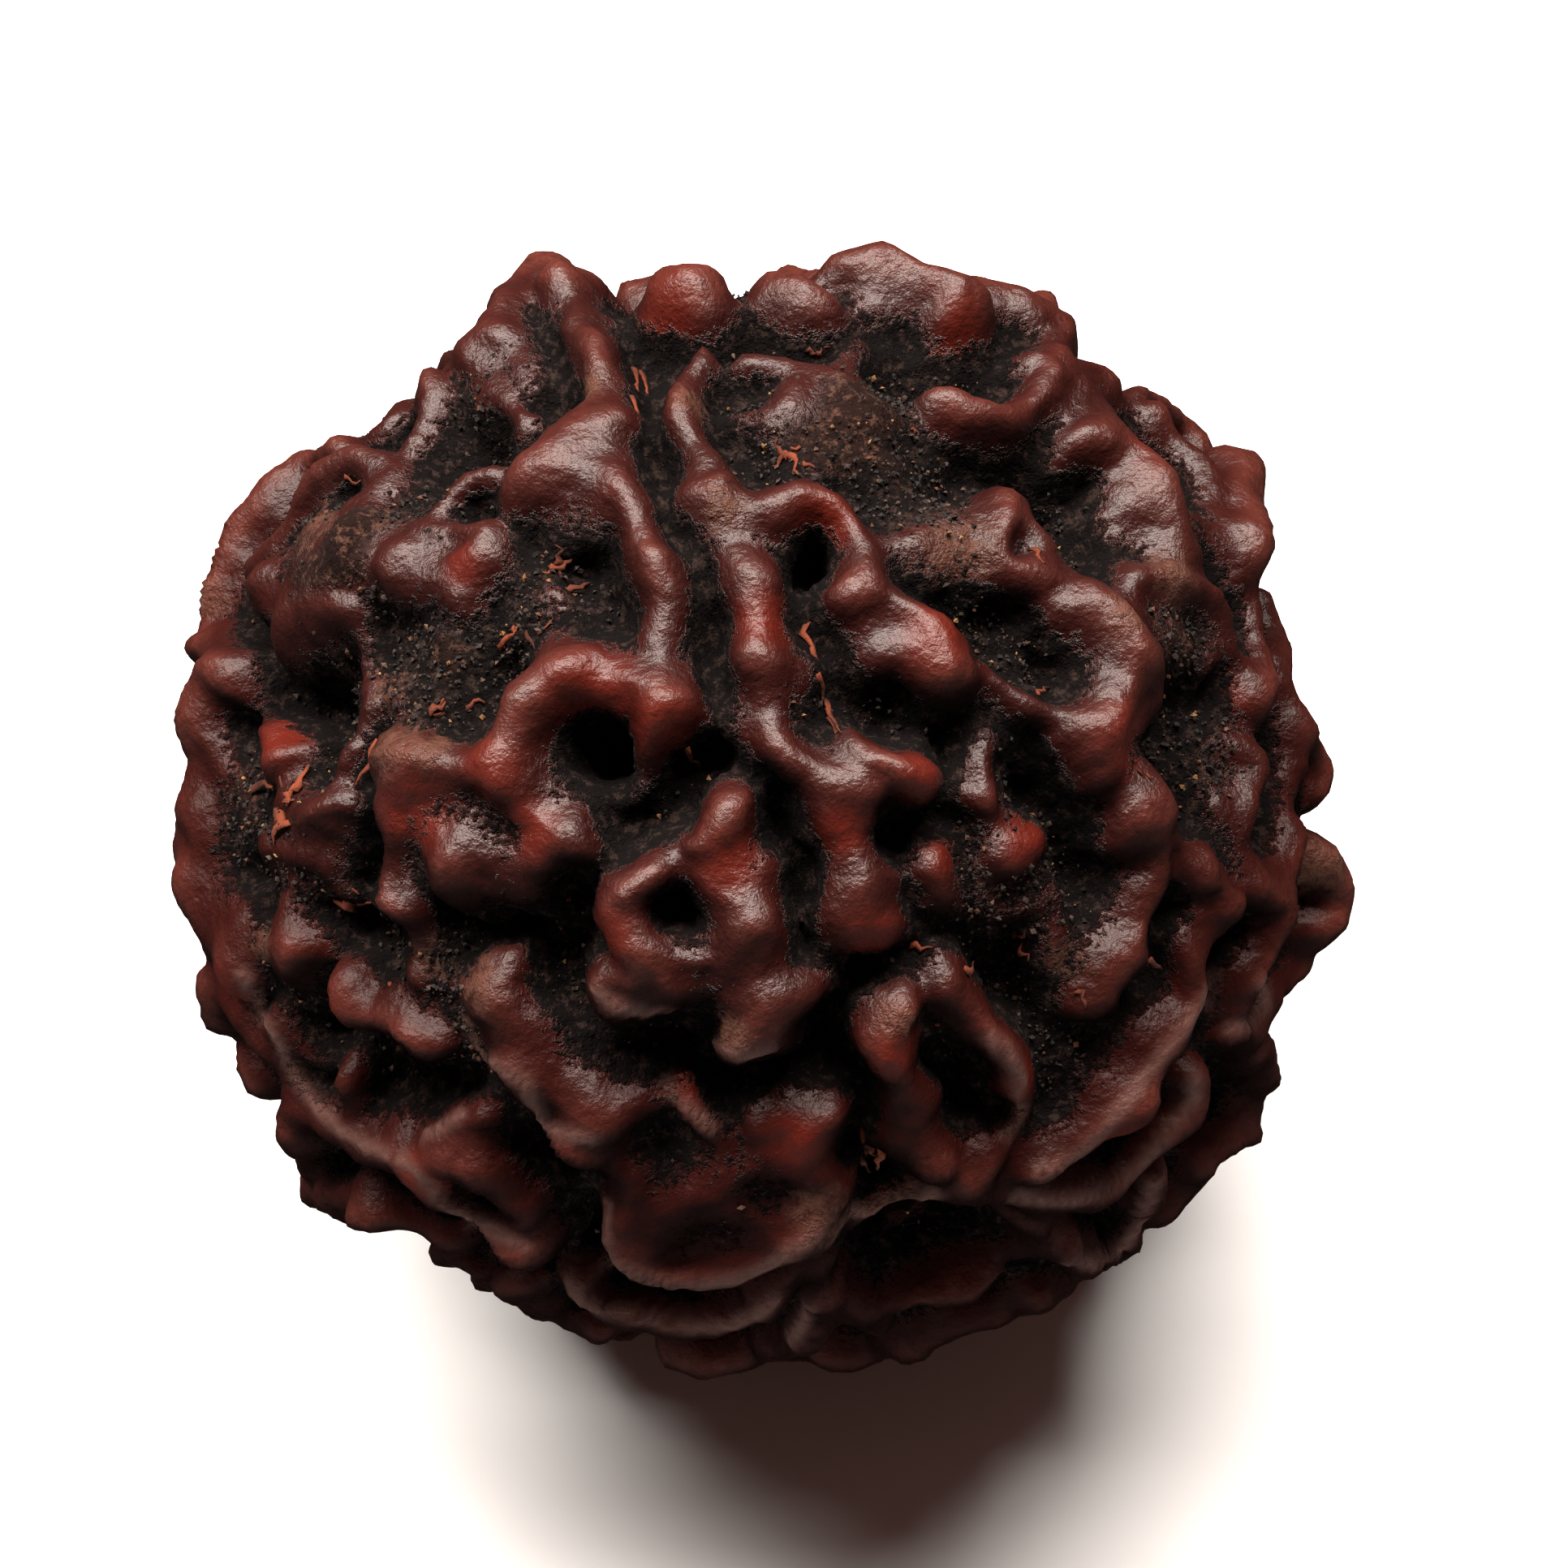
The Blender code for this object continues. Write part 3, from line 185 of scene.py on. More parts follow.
UPPER_RIGHT = [
    (2.0, 0.66, [(-1.75, 9.7), (-1.25, 9.6)]),
    (2.0, 0.52, [(0.3, 9.75), (0.8, 9.55)]),
    (1.35, 0.36, [(1.1, 9.35), (1.6, 9.3)]),
    (2.4, (0.66, 0.42), [(2.3, 10.15), (2.75, 10.0), (3.3, 9.75), (3.9, 9.6)]),
    (2.2, 0.58, [(4.25, 9.7), (4.7, 9.55)]),
    (1.9, 0.36, [(5.3, 9.35), (5.45, 8.8), (5.4, 8.4)]),
    (1.2, 0.22, [(1.95, 8.9), (1.85, 8.4), (1.5, 8.0)]),
    (1.5, 0.45, [(0.55, 7.65), (0.45, 7.45)]),
    (1.15, 0.25, [(-0.3, 7.1), (0.3, 7.15)]),
    (1.3, 0.25, [(-0.2, 8.2), (0.4, 8.15), (1.0, 8.0), (1.5, 7.8)]),
    (1.75, 0.26, [(3.4, 7.6), (4.0, 7.4), (4.6, 7.35), (5.05, 7.6), (5.15, 8.0), (4.9, 8.2)]),
    (1.5, 0.26, [(5.5, 7.9), (5.7, 7.5), (5.7, 7.2)]),
    (1.3, 0.36, [(3.6, 8.4), (3.65, 8.35)]),
    (1.1, 0.2, [(4.2, 8.15), (4.5, 7.95)]),
    (1.9, 0.5, [(6.0, 8.05), (6.4, 8.0)]),
    (1.7, 0.28, [(7.0, 7.55), (7.7, 7.2), (8.3, 6.8)]),
    (2.0, (0.62, 0.95), [(6.5, 7.0), (6.9, 6.7), (7.3, 6.1), (7.6, 5.5)]),
    (1.75, 0.28, [(7.4, 7.1), (7.9, 6.6), (8.25, 6.0), (8.5, 5.2), (8.75, 4.5)]),
    (2.2, 0.5, [(8.9, 6.35), (9.15, 5.75), (9.15, 5.0)]),
    (1.5, 0.25, [(-1.2, 8.3), (-1.45, 7.6), (-1.35, 6.9), (-1.05, 6.3)]),
    (1.8, (0.38, 0.52), [(-0.8, 5.9), (-0.5, 5.1), (-0.25, 4.4), (0.0, 3.7), (0.1, 3.1)]),
    (1.65, 0.38, [(0.1, 3.1), (0.0, 2.4), (0.05, 1.8), (0.35, 1.2), (0.9, 0.75), (1.6, 0.4)]),
    (1.75, 0.38, [(0.2, 5.4), (0.65, 5.8), (1.2, 5.7), (1.6, 5.25), (1.85, 4.7), (1.9, 3.9)]),
    (1.95, 0.48, [(2.1, 3.9), (2.7, 3.6), (3.3, 3.2), (3.6, 2.9)]),
    (1.6, 0.45, [(2.4, 3.0), (3.2, 2.6)]),
    (1.3, 0.75, [(2.5, 4.7), (3.3, 4.8), (4.0, 5.2)]),
    (0.9, 0.5, [(1.4, 7.1), (2.3, 6.9)]),
    (1.0, 0.35, [(0.7, 2.4), (0.8, 1.6)]),
]

MIDDLE_RIGHT = [
    (1.55, 0.2, [(4.5, 5.7), (4.35, 5.1), (4.5, 4.55), (5.1, 4.3), (5.8, 4.15)]),
    (1.3, 0.2, [(4.8, 5.6), (4.9, 5.1), (5.2, 4.75)]),
    (2.0, (0.55, 0.6), [(6.2, 4.0), (6.65, 3.4), (6.75, 2.6)]),
    (2.0, (0.6, 0.45), [(6.75, 2.6), (6.7, 2.0), (6.4, 1.4), (6.2, 0.9)]),
    (1.7, 0.33, [(7.1, 3.6), (7.1, 2.8), (7.2, 2.1), (7.0, 1.5)]),
    (1.3, 0.26, [(4.2, 2.45), (4.7, 2.0), (5.3, 1.65), (5.8, 1.5)]),
    (1.85, 0.28, [(2.0, 1.15), (2.5, 0.9), (2.95, 0.65)]),
    (1.4, 0.35, [(4.2, 1.1), (4.15, 0.6), (4.0, 0.2)]),
    (1.85, (0.58, 0.78), [(1.6, 0.3), (1.65, -0.5), (1.75, -1.3), (1.95, -2.15)]),
    (1.35, 0.46, [(3.3, -0.85), (3.25, -1.6)]),
    (1.4, 0.4, [(4.95, -0.5), (4.7, -0.6)]),
    (1.0, 0.32, [(4.1, -1.4), (4.4, -1.75), (4.9, -1.85), (5.3, -1.6)]),
    (1.6, 0.3, [(7.9, 5.2), (8.3, 4.8), (8.7, 4.4), (9.0, 3.9), (9.1, 3.2), (9.15, 2.6), (9.0, 2.1)]),
    (1.7, 0.42, [(7.0, 4.25), (7.7, 4.1), (8.3, 3.8), (8.7, 3.3), (8.8, 2.6)]),
    (1.55, 0.55, [(8.4, 3.3), (8.6, 2.6)]),
    (1.5, 0.48, [(9.5, 3.6), (9.6, 2.9), (9.6, 2.2), (9.75, 1.5)]),
    (1.75, 0.4, [(10.0, 1.6), (10.3, 0.9), (10.3, 0.4)]),
    (1.5, 0.32, [(8.8, 1.25), (9.05, 0.8), (8.9, 0.3), (8.75, -0.2), (8.7, -0.8)]),
    (1.5, 0.36, [(9.8, 0.7), (9.7, 0.1), (9.5, -0.5), (9.4, -1.0)]),
    (1.3, 0.3, [(8.3, 0.1), (8.4, -0.4)]),
    (1.75, 0.48, [(7.1, 0.1), (7.3, -0.7), (7.3, -1.4), (7.0, -2.1), (6.7, -2.7), (6.4, -3.3)]),
    (1.65, 0.2, [(6.95, 0.5), (7.3, 0.0), (7.65, -0.5), (7.9, -1.0)]),
    (1.75, 0.38, [(8.3, -1.1), (8.5, -1.6), (8.3, -2.0)]),
    (1.8, 0.45, [(9.2, -1.2), (9.5, -1.7), (9.3, -2.3), (9.1, -2.9), (8.9, -3.5)]),
    (2.1, 0.48, [(10.5, -0.9), (10.6, -1.6), (10.4, -2.2)]),
    (1.7, 0.42, [(9.9, -2.8), (9.7, -3.3)]),
]

LOWER_RIGHT = [
    (1.1, 0.25, [(5.4, -2.1), (5.3, -2.8), (5.7, -3.3)]),
    (1.5, 0.4, [(3.5, -3.2), (3.6, -3.7)]),
    (1.8, (0.42, 0.55), [(2.5, -3.7), (2.55, -4.4), (2.75, -5.2), (3.0, -5.9), (3.2, -6.5)]),
    (1.65, 0.33, [(4.0, -3.95), (4.5, -4.4), (4.75, -5.0), (4.7, -5.6), (4.4, -6.1), (4.0, -6.6),
            (3.6, -6.9)]),
    (1.9, 0.36, [(8.15, -2.6), (8.1, -3.3), (7.8, -3.95), (7.3, -4.65), (6.9, -5.15)]),
    (1.9, (0.4, 0.34), [(6.9, -5.15), (6.35, -5.75), (5.8, -6.2), (5.2, -6.5)]),
    (1.6, 0.35, [(7.3, -3.8), (6.9, -4.3), (6.3, -5.0)]),
    (1.75, 0.3, [(7.95, -4.9), (7.9, -5.3), (7.4, -6.05), (6.8, -6.7), (6.1, -7.05)]),
    (1.75, 0.28, [(6.1, -7.05), (5.3, -7.1), (4.5, -7.05), (3.9, -6.95)]),
    (1.65, 0.32, [(7.3, -6.8), (7.1, -7.4), (6.9, -8.0), (6.3, -8.25), (5.6, -8.1), (5.0, -7.8),
            (4.4, -7.7)]),
    (1.8, 0.36, [(8.8, -5.9), (8.3, -6.5), (8.0, -7.0), (7.6, -7.5)]),
    (1.65, 0.48, [(9.2, -4.4), (9.2, -5.0), (8.9, -5.6)]),
    (1.6, 0.2, [(9.4, -3.6), (9.1, -4.0), (8.5, -4.1)]),
]

# Broad raised ground on the drawing: place, radius and how far it stands above the core
PLATEAUS = [
    (1.4, 6.8, 1.8, 0.95), (3.3, 4.9, 1.2, 1.0), (1.0, 9.3, 1.7, 0.95), (3.8, 9.2, 1.4, 0.85),
    (-1.6, 9.3, 1.2, 0.8), (-4.6, 8.8, 1.2, 0.8), (-7.0, 7.2, 1.1, 0.8), (6.6, 7.7, 1.2, 0.8),
    (-8.0, 4.6, 1.5, 1.3), (-6.4, 4.9, 1.3, 1.15), (-6.0, 2.4, 1.3, 0.85), (-4.0, 3.7, 1.1, 0.65),
    (-6.0, 0.2, 1.2, 0.9), (-9.6, 0.0, 1.2, 1.1), (-8.6, -2.9, 1.2, 0.9), (-8.4, -0.6, 1.2, 1.0),
    (7.4, 3.4, 1.1, 1.0), (8.8, 4.6, 0.9, 0.9), (8.7, -2.2, 0.9, 0.8), (5.4, -4.4, 1.0, 0.8),
    (5.2, 3.1, 1.0, 0.85), (8.5, 0.6, 1.2, 0.9), (-0.2, -7.2, 1.7, 1.0), (-5.0, -7.0, 1.2, 0.8),
    (-5.4, -3.7, 1.3, 0.8), (-0.9, -2.4, 1.0, 0.8), (4.3, -1.1, 1.2, 0.65), (5.9, -2.4, 1.0, 0.7),
    (3.4, 8.2, 1.0, 0.7), (-4.7, 7.6, 1.0, 0.7), (0.4, 2.2, 0.7, 0.8), (-2.4, -5.2, 0.9, 0.5),
]

DRAWN = UPPER_LEFT + MIDDLE_LEFT + LOWER_LEFT + MIDDLE + UPPER_RIGHT + MIDDLE_RIGHT + LOWER_RIGHT

# Deep hollows on the drawing: place, radius and how far the surface sinks
HOLLOWS = [
    (-2.9, 1.1, 0.55, 1.0), (0.9, 4.4, 0.4, 0.8), (5.2, 5.5, 0.6, 0.8), (-4.9, 6.7, 0.4, 0.8),
    (-8.1, 2.0, 0.7, 0.8), (5.2, 2.6, 0.6, 0.55), (7.9, 2.2, 0.4, 0.8), (-1.45, -1.65, 0.28, 1.1),
    (4.1, -5.1, 0.35, 0.7), (5.0, 0.4, 0.6, 0.8), (-4.5, -2.2, 0.7, 0.6), (2.6, 8.1, 0.3, 0.7),
]

# Valleys that cross the outline and run on behind: place, half width and depth
OUTLINE_GAPS = [
    (-0.35, 9.2, 0.32, 1.5), (-3.05, 9.5, 0.3, 0.8), (1.35, 9.5, 0.3, 0.5), (-10.2, 3.0, 0.3, 0.5),
    (-9.2, 6.1, 0.3, 0.6), (9.1, 4.3, 0.35, 0.7), (10.0, -0.2, 0.35, 0.7), (9.5, -3.8, 0.3, 0.6),
    (-7.3, 6.8, 0.3, 0.4), (5.7, 8.3, 0.3, 0.5),
]

# Valleys and patches of the drawing are thrown back onto the bead at these heights above the core
VALLEY_RISE = 0.5
PATCH_RISE = 1.2

# How the ridges are rounded and run into each other, and how far beyond its half width one reaches
EDGE_ROUND = 0.5
WALL_FLARE = 0.42
BLEND = 0.24
FULLNESS = 0.06
CREST_DOME = 0.5
CROWN_POWER = 1.5
CROWN_EDGE = 1.2
WANDER = 0.07
RIDGE_REACH = 1.2
CREST_STEP = 0.25

# Soft waves, each summed from so many courses: height, wavelength and the seed of the courses. Those
# of the width are a share of it.
WAVE_COURSES = 16
WAVE_LENGTHS = (0.7, 1.3)
GROUND_WAVES = ((0.12, 3.2, 11), (0.07, 1.3, 12))
CREST_WAVES = (0.1, 1.4, 13)
WIDTH_WAVES = (0.16, 1.1, 14)
WANDER_WAVES = ((1.0, 1.5, 31), (1.0, 1.5, 32), (1.0, 1.5, 33))

# Furrow between two faces: half width and depth below the core. Over the back it runs on in steps
# and sways a little, in radians.
FURROW_HALF = 0.42
FURROW_DEPTH = 0.8
BED_START = 0.2
BED_GAP = 0.1
BED_STEP = 0.15
BED_SWAY = 0.05
BED_PACE = 3.1

# The ground between the ridges stands this far above the core
GROUND_RISE = 0.12

# Where the search for the surface starts above the core and ends below it, and its step
SEARCH_ABOVE = 2.6
SEARCH_BELOW = 2.0
SEARCH_STEP = 0.1

# Then the grid is evened out over the surface: rounds, share of the drift and longest step of each
SETTLE_ROUNDS = 8
SETTLE_SHARE = 0.6
SETTLE_STEP = 0.12

# The thread hole from pole to pole, the grid rings taken out for it, its funnel mouths and low lips
HOLE_RADIUS = 0.9
HOLE_RING = 9
TUNNEL_CUTS = 16
TUNNEL_EDGE = 3.0
MOUTH_RADIUS = 1.7
MOUTH_DEPTH = 1.3
LIP_RADIUS = 1.75
LIP_HALF = 0.3
LIP_HEIGHT = 1.25
LIP_POINTS = 17

# The knobs that it rests on: one below the centre and three round it
KNOB_SPREAD = 2.3
KNOB_HALF = 0.75
KNOB_HEIGHT = 1.95

# Ridges repeated on the hidden side: up to so many degrees of extra turn, the range by which widths
# and heights change, the highest, and the share of two half widths that they keep between them
BACK_TURN = 2.0
BACK_WIDTHS = (0.88, 1.12)
BACK_HEIGHTS = (0.9, 1.06)
BACK_HIGHEST = 2.0
BACK_ROOM = 0.8

# Winding ridges on the hidden side: how many are tried, step along the crest and number of steps, room
# between two and beside a furrow, half widths, heights, and the most radians that one bends in a step
WIND_STARTS = 1959
WIND_STEP = 0.45
WIND_STEPS = (2, 9)
WIND_ROOM = 0.24
WIND_START_ROOM = 0.35
FURROW_ROOM = 0.75
WIND_HALVES = (0.34, 0.6)
WIND_HEIGHTS = (1.45, 1.95)
WIND_BEND = 0.5

# The hidden side starts here, as the cosine of the angle to the sight line, and winding ends run on
HIDDEN_FROM = 0.1
WIND_END = 0.12

# Hidden ridges are this low at the outline and rise with the distance behind it
OUTLINE_HEIGHT = 1.0
OUTLINE_RISE = 3.2
OUTLINE_WIDTH = 0.05

# Grid cells along a side of the cube that is blown up into the bead
GRID_CELLS = 126


def unit(vectors):
    """Vectors scaled to length one."""
    vectors = np.asarray(vectors, dtype=float)
    return vectors / np.linalg.norm(vectors, axis=-1, keepdims=True)


def drawing_axes():
    """The drawing's right, up and towards-the-eye directions in the bead's own space."""
    rise = math.radians(SIGHT_RISE)
    right = (1.0, 0.0, 0.0)
    up = (0.0, math.sin(rise), math.cos(rise))
    toward = (0.0, -math.cos(rise), math.sin(rise))
    return np.array([right, up, toward])


def on_bead(x, y, radius):
    """Direction of the point where a sight line through the drawing meets the bead."""
    eye = np.array([0.0, 0.0, EYE_DISTANCE])
    ray = unit(np.array([x, y, 0.0]) - eye)
    nearest = -eye @ ray
    miss = EYE_DISTANCE ** 2 - nearest ** 2
    depth = math.sqrt(max(radius ** 2 - miss, 0.0))
    return unit(eye + (nearest - depth) * ray) @ drawing_axes()


def ends(value, count):
    """A value, or an even change between the two values of a pair, at each point of a line."""
    if isinstance(value, tuple):
        return np.linspace(value[0], value[1], count)
    return np.full(count, float(value))


def rounded(nodes):
    """A crest line with a point added between each two, on the smooth curve through them all."""
    padded = np.concatenate([[2 * nodes[0] - nodes[1]], nodes, [2 * nodes[-1] - nodes[-2]]])
    between = (9 * (padded[1:-2] + padded[2:-1]) - padded[:-3] - padded[3:]) / 16
    line = np.empty((2 * len(nodes) - 1, 3))
    line[0::2] = nodes
    line[1::2] = unit(between)
    return line


def drawn_ridges():
    """The ridges of the drawing as lines of directions with half widths and heights."""
    ridges = []
    for height, half_width, line in DRAWN:
        heights = ends(height, len(line))
        ways = [on_bead(x, y, CORE_RADIUS + h - CREST_INSET) for (x, y), h in zip(line, heights)]
        ways = rounded(np.array(ways))
        ridges.append((ways, ends(half_width, len(ways)) + FULLNESS, ends(height, len(ways))))
    return ridges


def turn(axis, angle):
    """Turn about an axis, as a matrix for rows of directions."""
    return np.array(Matrix.Rotation(angle, 3, tuple(axis))).T


def furrow_frame():
    """The near pole, the main furrow's side of the bead and the side to its right."""
    pole = unit(np.array(AXIS_ON_DRAWING)) @ drawing_axes()
    front = np.array(FURROW_ON_DRAWING) @ drawing_axes()
    front = unit(front - (front @ pole) * pole)
    return pole, front, np.cross(front, pole)


def furrows():
    """The furrow lines: two from the drawing, run on over the back, and three round the back."""
    pole, front, side = furrow_frame()
    lines = []
    for face in range(FACES):
        lean = face * 2 * math.pi / FACES
        drawn = {0: MAIN_FURROW, 1: RIGHT_FURROW}.get(face, [])
        line = [on_bead(x, y, CORE_RADIUS + VALLEY_RISE) for x, y in reversed(drawn)]
        start = math.acos(line[-1] @ pole) + BED_GAP if line else BED_START
        for polar in np.arange(start, math.pi - BED_STEP, BED_STEP):
            around = lean + BED_SWAY * math.sin(BED_PACE * polar + 2.0 * face)
            outward = math.cos(around) * front + math.sin(around) * side
            line.append(math.cos(polar) * pole + math.sin(polar) * outward)
        lines.append(np.array(line))
    return lines


def side_gap(ways, nodes, half_widths, heights):
    """Distance along the surface to a ridge's crest line, with its half width and height there."""
    best = np.full(len(ways), np.inf)
    gap = np.full(len(ways), np.inf)
    width = np.full(len(ways), half_widths[0])
    height = np.full(len(ways), heights[0])
    for i in range(len(nodes) - 1):
        along = nodes[i + 1] - nodes[i]
        share = np.clip((ways - nodes[i]) @ along / (along @ along), 0.0, 1.0)
        foot = nodes[i] + share[:, None] * along
        distance = np.linalg.norm(ways - foot, axis=1) * CREST_RADIUS
        w = half_widths[i] + (half_widths[i + 1] - half_widths[i]) * share
        closer = distance - w < best
        best = np.where(closer, distance - w, best)
        gap = np.where(closer, distance, gap)
        width = np.where(closer, w, width)
        height = np.where(closer, heights[i] + (heights[i + 1] - heights[i]) * share, height)
    return gap, width, height


def under_ridges(ways, ridges):
    """Every pairing of a direction with a ridge that reaches it."""
    rows = []
    for nodes, half_widths, heights in ridges:
        middle = unit(nodes.mean(axis=0))
        span = np.arccos(np.clip(nodes @ middle, -1.0, 1.0)).max()
        margin = (half_widths.max() + RIDGE_REACH) / CORE_RADIUS
        chosen = np.nonzero(ways @ middle > math.cos(span + margin))[0]
        if len(chosen):
            rows.append((chosen, *side_gap(ways[chosen], nodes, half_widths, heights)))
    return [np.concatenate(column) for column in zip(*rows)]


def ripple(ways, height, wavelength, seed):
    """Soft waves over the bead, with their usual height and their wavelength in millimetres."""
    draw = np.random.default_rng(seed)
    courses = unit(draw.normal(size=(WAVE_COURSES, 3)))
    turns = 2 * math.pi * CORE_RADIUS / wavelength * draw.uniform(*WAVE_LENGTHS, WAVE_COURSES)
    phases = draw.uniform(0.0, 2 * math.pi, WAVE_COURSES)
    waves = np.sin((ways @ courses.T) * turns + phases).sum(axis=1)
    return height * (waves / math.sqrt(WAVE_COURSES / 2))


def line_gap(ways, line):
    """Distance along the surface to a bare line."""
    plain = np.zeros(len(line))
    return side_gap(ways, line, plain, plain)[0]


def furrow_cut(ways):
    """One along the bed of a furrow, falling to nothing beside it."""
    cut = np.zeros(len(ways))
    for line in furrows():
        cut = np.maximum(cut, np.exp(-((line_gap(ways, line) / FURROW_HALF) ** 2)))
    return cut


def core_level(ways):
    """Height of the ground between the ridges, with the furrows cut into it."""
    level = np.full(len(ways), CORE_RADIUS + GROUND_RISE)
    for waves in GROUND_WAVES:
        level += ripple(ways, *waves)
    for x, y, radius, rise in PLATEAUS:
        gap = np.linalg.norm(ways - on_bead(x, y, CORE_RADIUS + rise), axis=1) * CREST_RADIUS
        level += rise * np.exp(-((gap / radius) ** 4))
    return level - FURROW_DEPTH * furrow_cut(ways)


def sunken(ways):
    """How far the surface sinks at the deep hollows and at the two mouths of the hole."""
    depth = np.zeros(len(ways))
    for x, y, radius, fall in HOLLOWS:
        gap = np.linalg.norm(ways - on_bead(x, y, CORE_RADIUS + VALLEY_RISE), axis=1) * CREST_RADIUS
        depth += fall * np.exp(-((gap / radius) ** 2))
    toward = drawing_axes()[2]
    for x, y, half_width, fall in OUTLINE_GAPS:
        start = on_bead(x, y, CORE_RADIUS + VALLEY_RISE)
        across = unit(np.cross(toward, start))
        outward = np.cross(across, toward)
        beyond = np.clip((start @ toward - ways @ toward) / OUTLINE_WIDTH, 0.0, 1.0)
        beyond *= ways @ outward > 0.0
        depth += fall * np.exp(-((ways @ across * CORE_RADIUS / half_width) ** 2)) * beyond
    pole = furrow_frame()[0]
    for mouth in (pole, -pole):
        gap = np.linalg.norm(ways - mouth, axis=1) * CORE_RADIUS
        depth += MOUTH_DEPTH * np.clip(1.0 - (gap / MOUTH_RADIUS) ** 2, 0.0, 1.0)
    return depth


def wandering(ways):
    """Directions shifted a little this way and that, so that no ridge runs dead true."""
    shift = np.stack([ripple(ways, *waves) for waves in WANDER_WAVES], axis=1)
    return unit(ways + WANDER / CREST_RADIUS * shift)


def relief(ways, ridges):
    """How far a radius lies outside the surface in each direction, and the ground's share of it."""
    level = core_level(ways)
    fall = sunken(ways)
    swell = ripple(ways, *CREST_WAVES)
    index, gap, width, height = under_ridges(wandering(ways), ridges)
    width = width * (1.0 + ripple(ways, *WIDTH_WAVES))[index]
    edge = np.minimum(width, EDGE_ROUND)
    crown = CREST_DOME * width * np.minimum(gap / width, CROWN_EDGE) ** CROWN_POWER
    top = CORE_RADIUS + height + swell[index] - crown

    def outside(radius):
        lifted = radius + fall
        own = lifted[index]
        wall = width + WALL_FLARE * np.maximum(top - edge - own, 0.0)
        across = np.maximum(gap - wall + edge, 0.0)
        above = np.maximum(own - top + edge, 0.0)
        near = np.exp(-(np.hypot(across, above) - edge) / BLEND)
        total = np.bincount(index, weights=near, minlength=len(ways))
        ground = np.exp(-(lifted - level) / BLEND)
        return -BLEND * np.log(total + ground), ground / (total + ground)

    return outside


def outermost(ways, ridges):
    """Radius where a line from outside first meets the surface in each direction."""
    outside = relief(ways, ridges)
    radius = np.full(len(ways), CORE_RADIUS + SEARCH_ABOVE)
    found = np.full(len(ways), CORE_RADIUS - SEARCH_BELOW)
    open_way = np.ones(len(ways), dtype=bool)
    before = outside(radius)[0]
    for _ in range(round((SEARCH_ABOVE + SEARCH_BELOW) / SEARCH_STEP)):
        lower = radius - SEARCH_STEP
        after = outside(lower)[0]
        crossed = open_way & (after <= 0.0)
        share = before / np.maximum(before - after, 1e-9)
        found = np.where(crossed, radius - SEARCH_STEP * share, found)
        open_way &= ~crossed
        radius = lower
        before = after
    return found


def mouth_lips():
    """Low rings of wood round the two mouths of the hole."""
    pole, front, side = furrow_frame()
    lean = LIP_RADIUS / CORE_RADIUS
    rings = []
    for mouth in (pole, -pole):
        around = np.linspace(0.0, 2 * math.pi, LIP_POINTS)[:, None]
        ring = mouth + lean * (np.cos(around) * front + np.sin(around) * side)
        rings.append((unit(ring), ends(LIP_HALF, len(ring)), ends(LIP_HEIGHT, len(ring))))
    return rings


def resting_knobs():
    """The knob below the bead's centre and the three round it that it stands on."""
    knobs = []
    for place in range(4):
        spread = KNOB_SPREAD / CREST_RADIUS if place else 0.0
        around = 2 * math.pi * place / 3 + 0.5
        middle = np.array([spread * math.cos(around), spread * math.sin(around), -1.0])
        reach = np.array([0.03, 0.02, 0.0])
        line = unit([middle - reach, middle + reach])
        knobs.append((line, ends(KNOB_HALF, 2), ends(KNOB_HEIGHT, 2)))
    return knobs


def turned_ridges(drawn, kept):
    """The same growth turned and flipped onto the back, each place from where it was seen best."""
    pole, front, side = furrow_frame()
    toward = drawing_axes()[2]
    turns = [turn(pole, 2 * math.pi * k / FACES) for k in range(1, FACES)]
    for k in range(FACES):
        lean = math.pi * k / FACES
        turns.append(turn(math.cos(lean) * front + math.sin(lean) * side, math.pi))
    draw = random.Random(108)
    edge_nodes = np.concatenate([nodes for nodes, _, _ in kept])
    edge_widths = np.concatenate([widths for _, widths, _ in kept])
    placed = []
    for which, turned in enumerate(turns):
        for nodes, half_widths, heights in drawn:
            lean_axis = unit([draw.gauss(0, 1) for _ in range(3)])
            moved = nodes @ turned
            moved = moved @ turn(lean_axis, math.radians(draw.uniform(0.0, BACK_TURN)))
            middle = unit(moved[::2].mean(axis=0))
            seen = [toward @ (middle @ other.T) for other in turns]
            scale = draw.uniform(*BACK_WIDTHS)
            lift = draw.uniform(*BACK_HEIGHTS)
            if int(np.argmax(seen)) != which or (moved @ toward).max() > 0.0:
                continue
            spread = np.linalg.norm(moved[:, None] - edge_nodes[None], axis=2) * CREST_RADIUS
            if (spread - BACK_ROOM * (half_widths.max() + edge_widths)[None]).min() < 0.0:
                continue
            placed.append((moved, half_widths * scale, np.minimum(heights * lift, BACK_HIGHEST)))
    return placed


def crest_points(ridges):
    """Closely spaced points along the crests with the half width at each."""
    points = []
    widths = []
    for nodes, half_widths, _ in ridges:
        for i in range(len(nodes) - 1):
            steps = max(2, int(np.linalg.norm(nodes[i + 1] - nodes[i]) * CREST_RADIUS / CREST_STEP))
            share = np.linspace(0.0, 1.0, steps)[:, None]
            points.append(nodes[i] + share * (nodes[i + 1] - nodes[i]))
            widths.append(half_widths[i] + share[:, 0] * (half_widths[i + 1] - half_widths[i]))
    return np.concatenate(points), np.concatenate(widths)


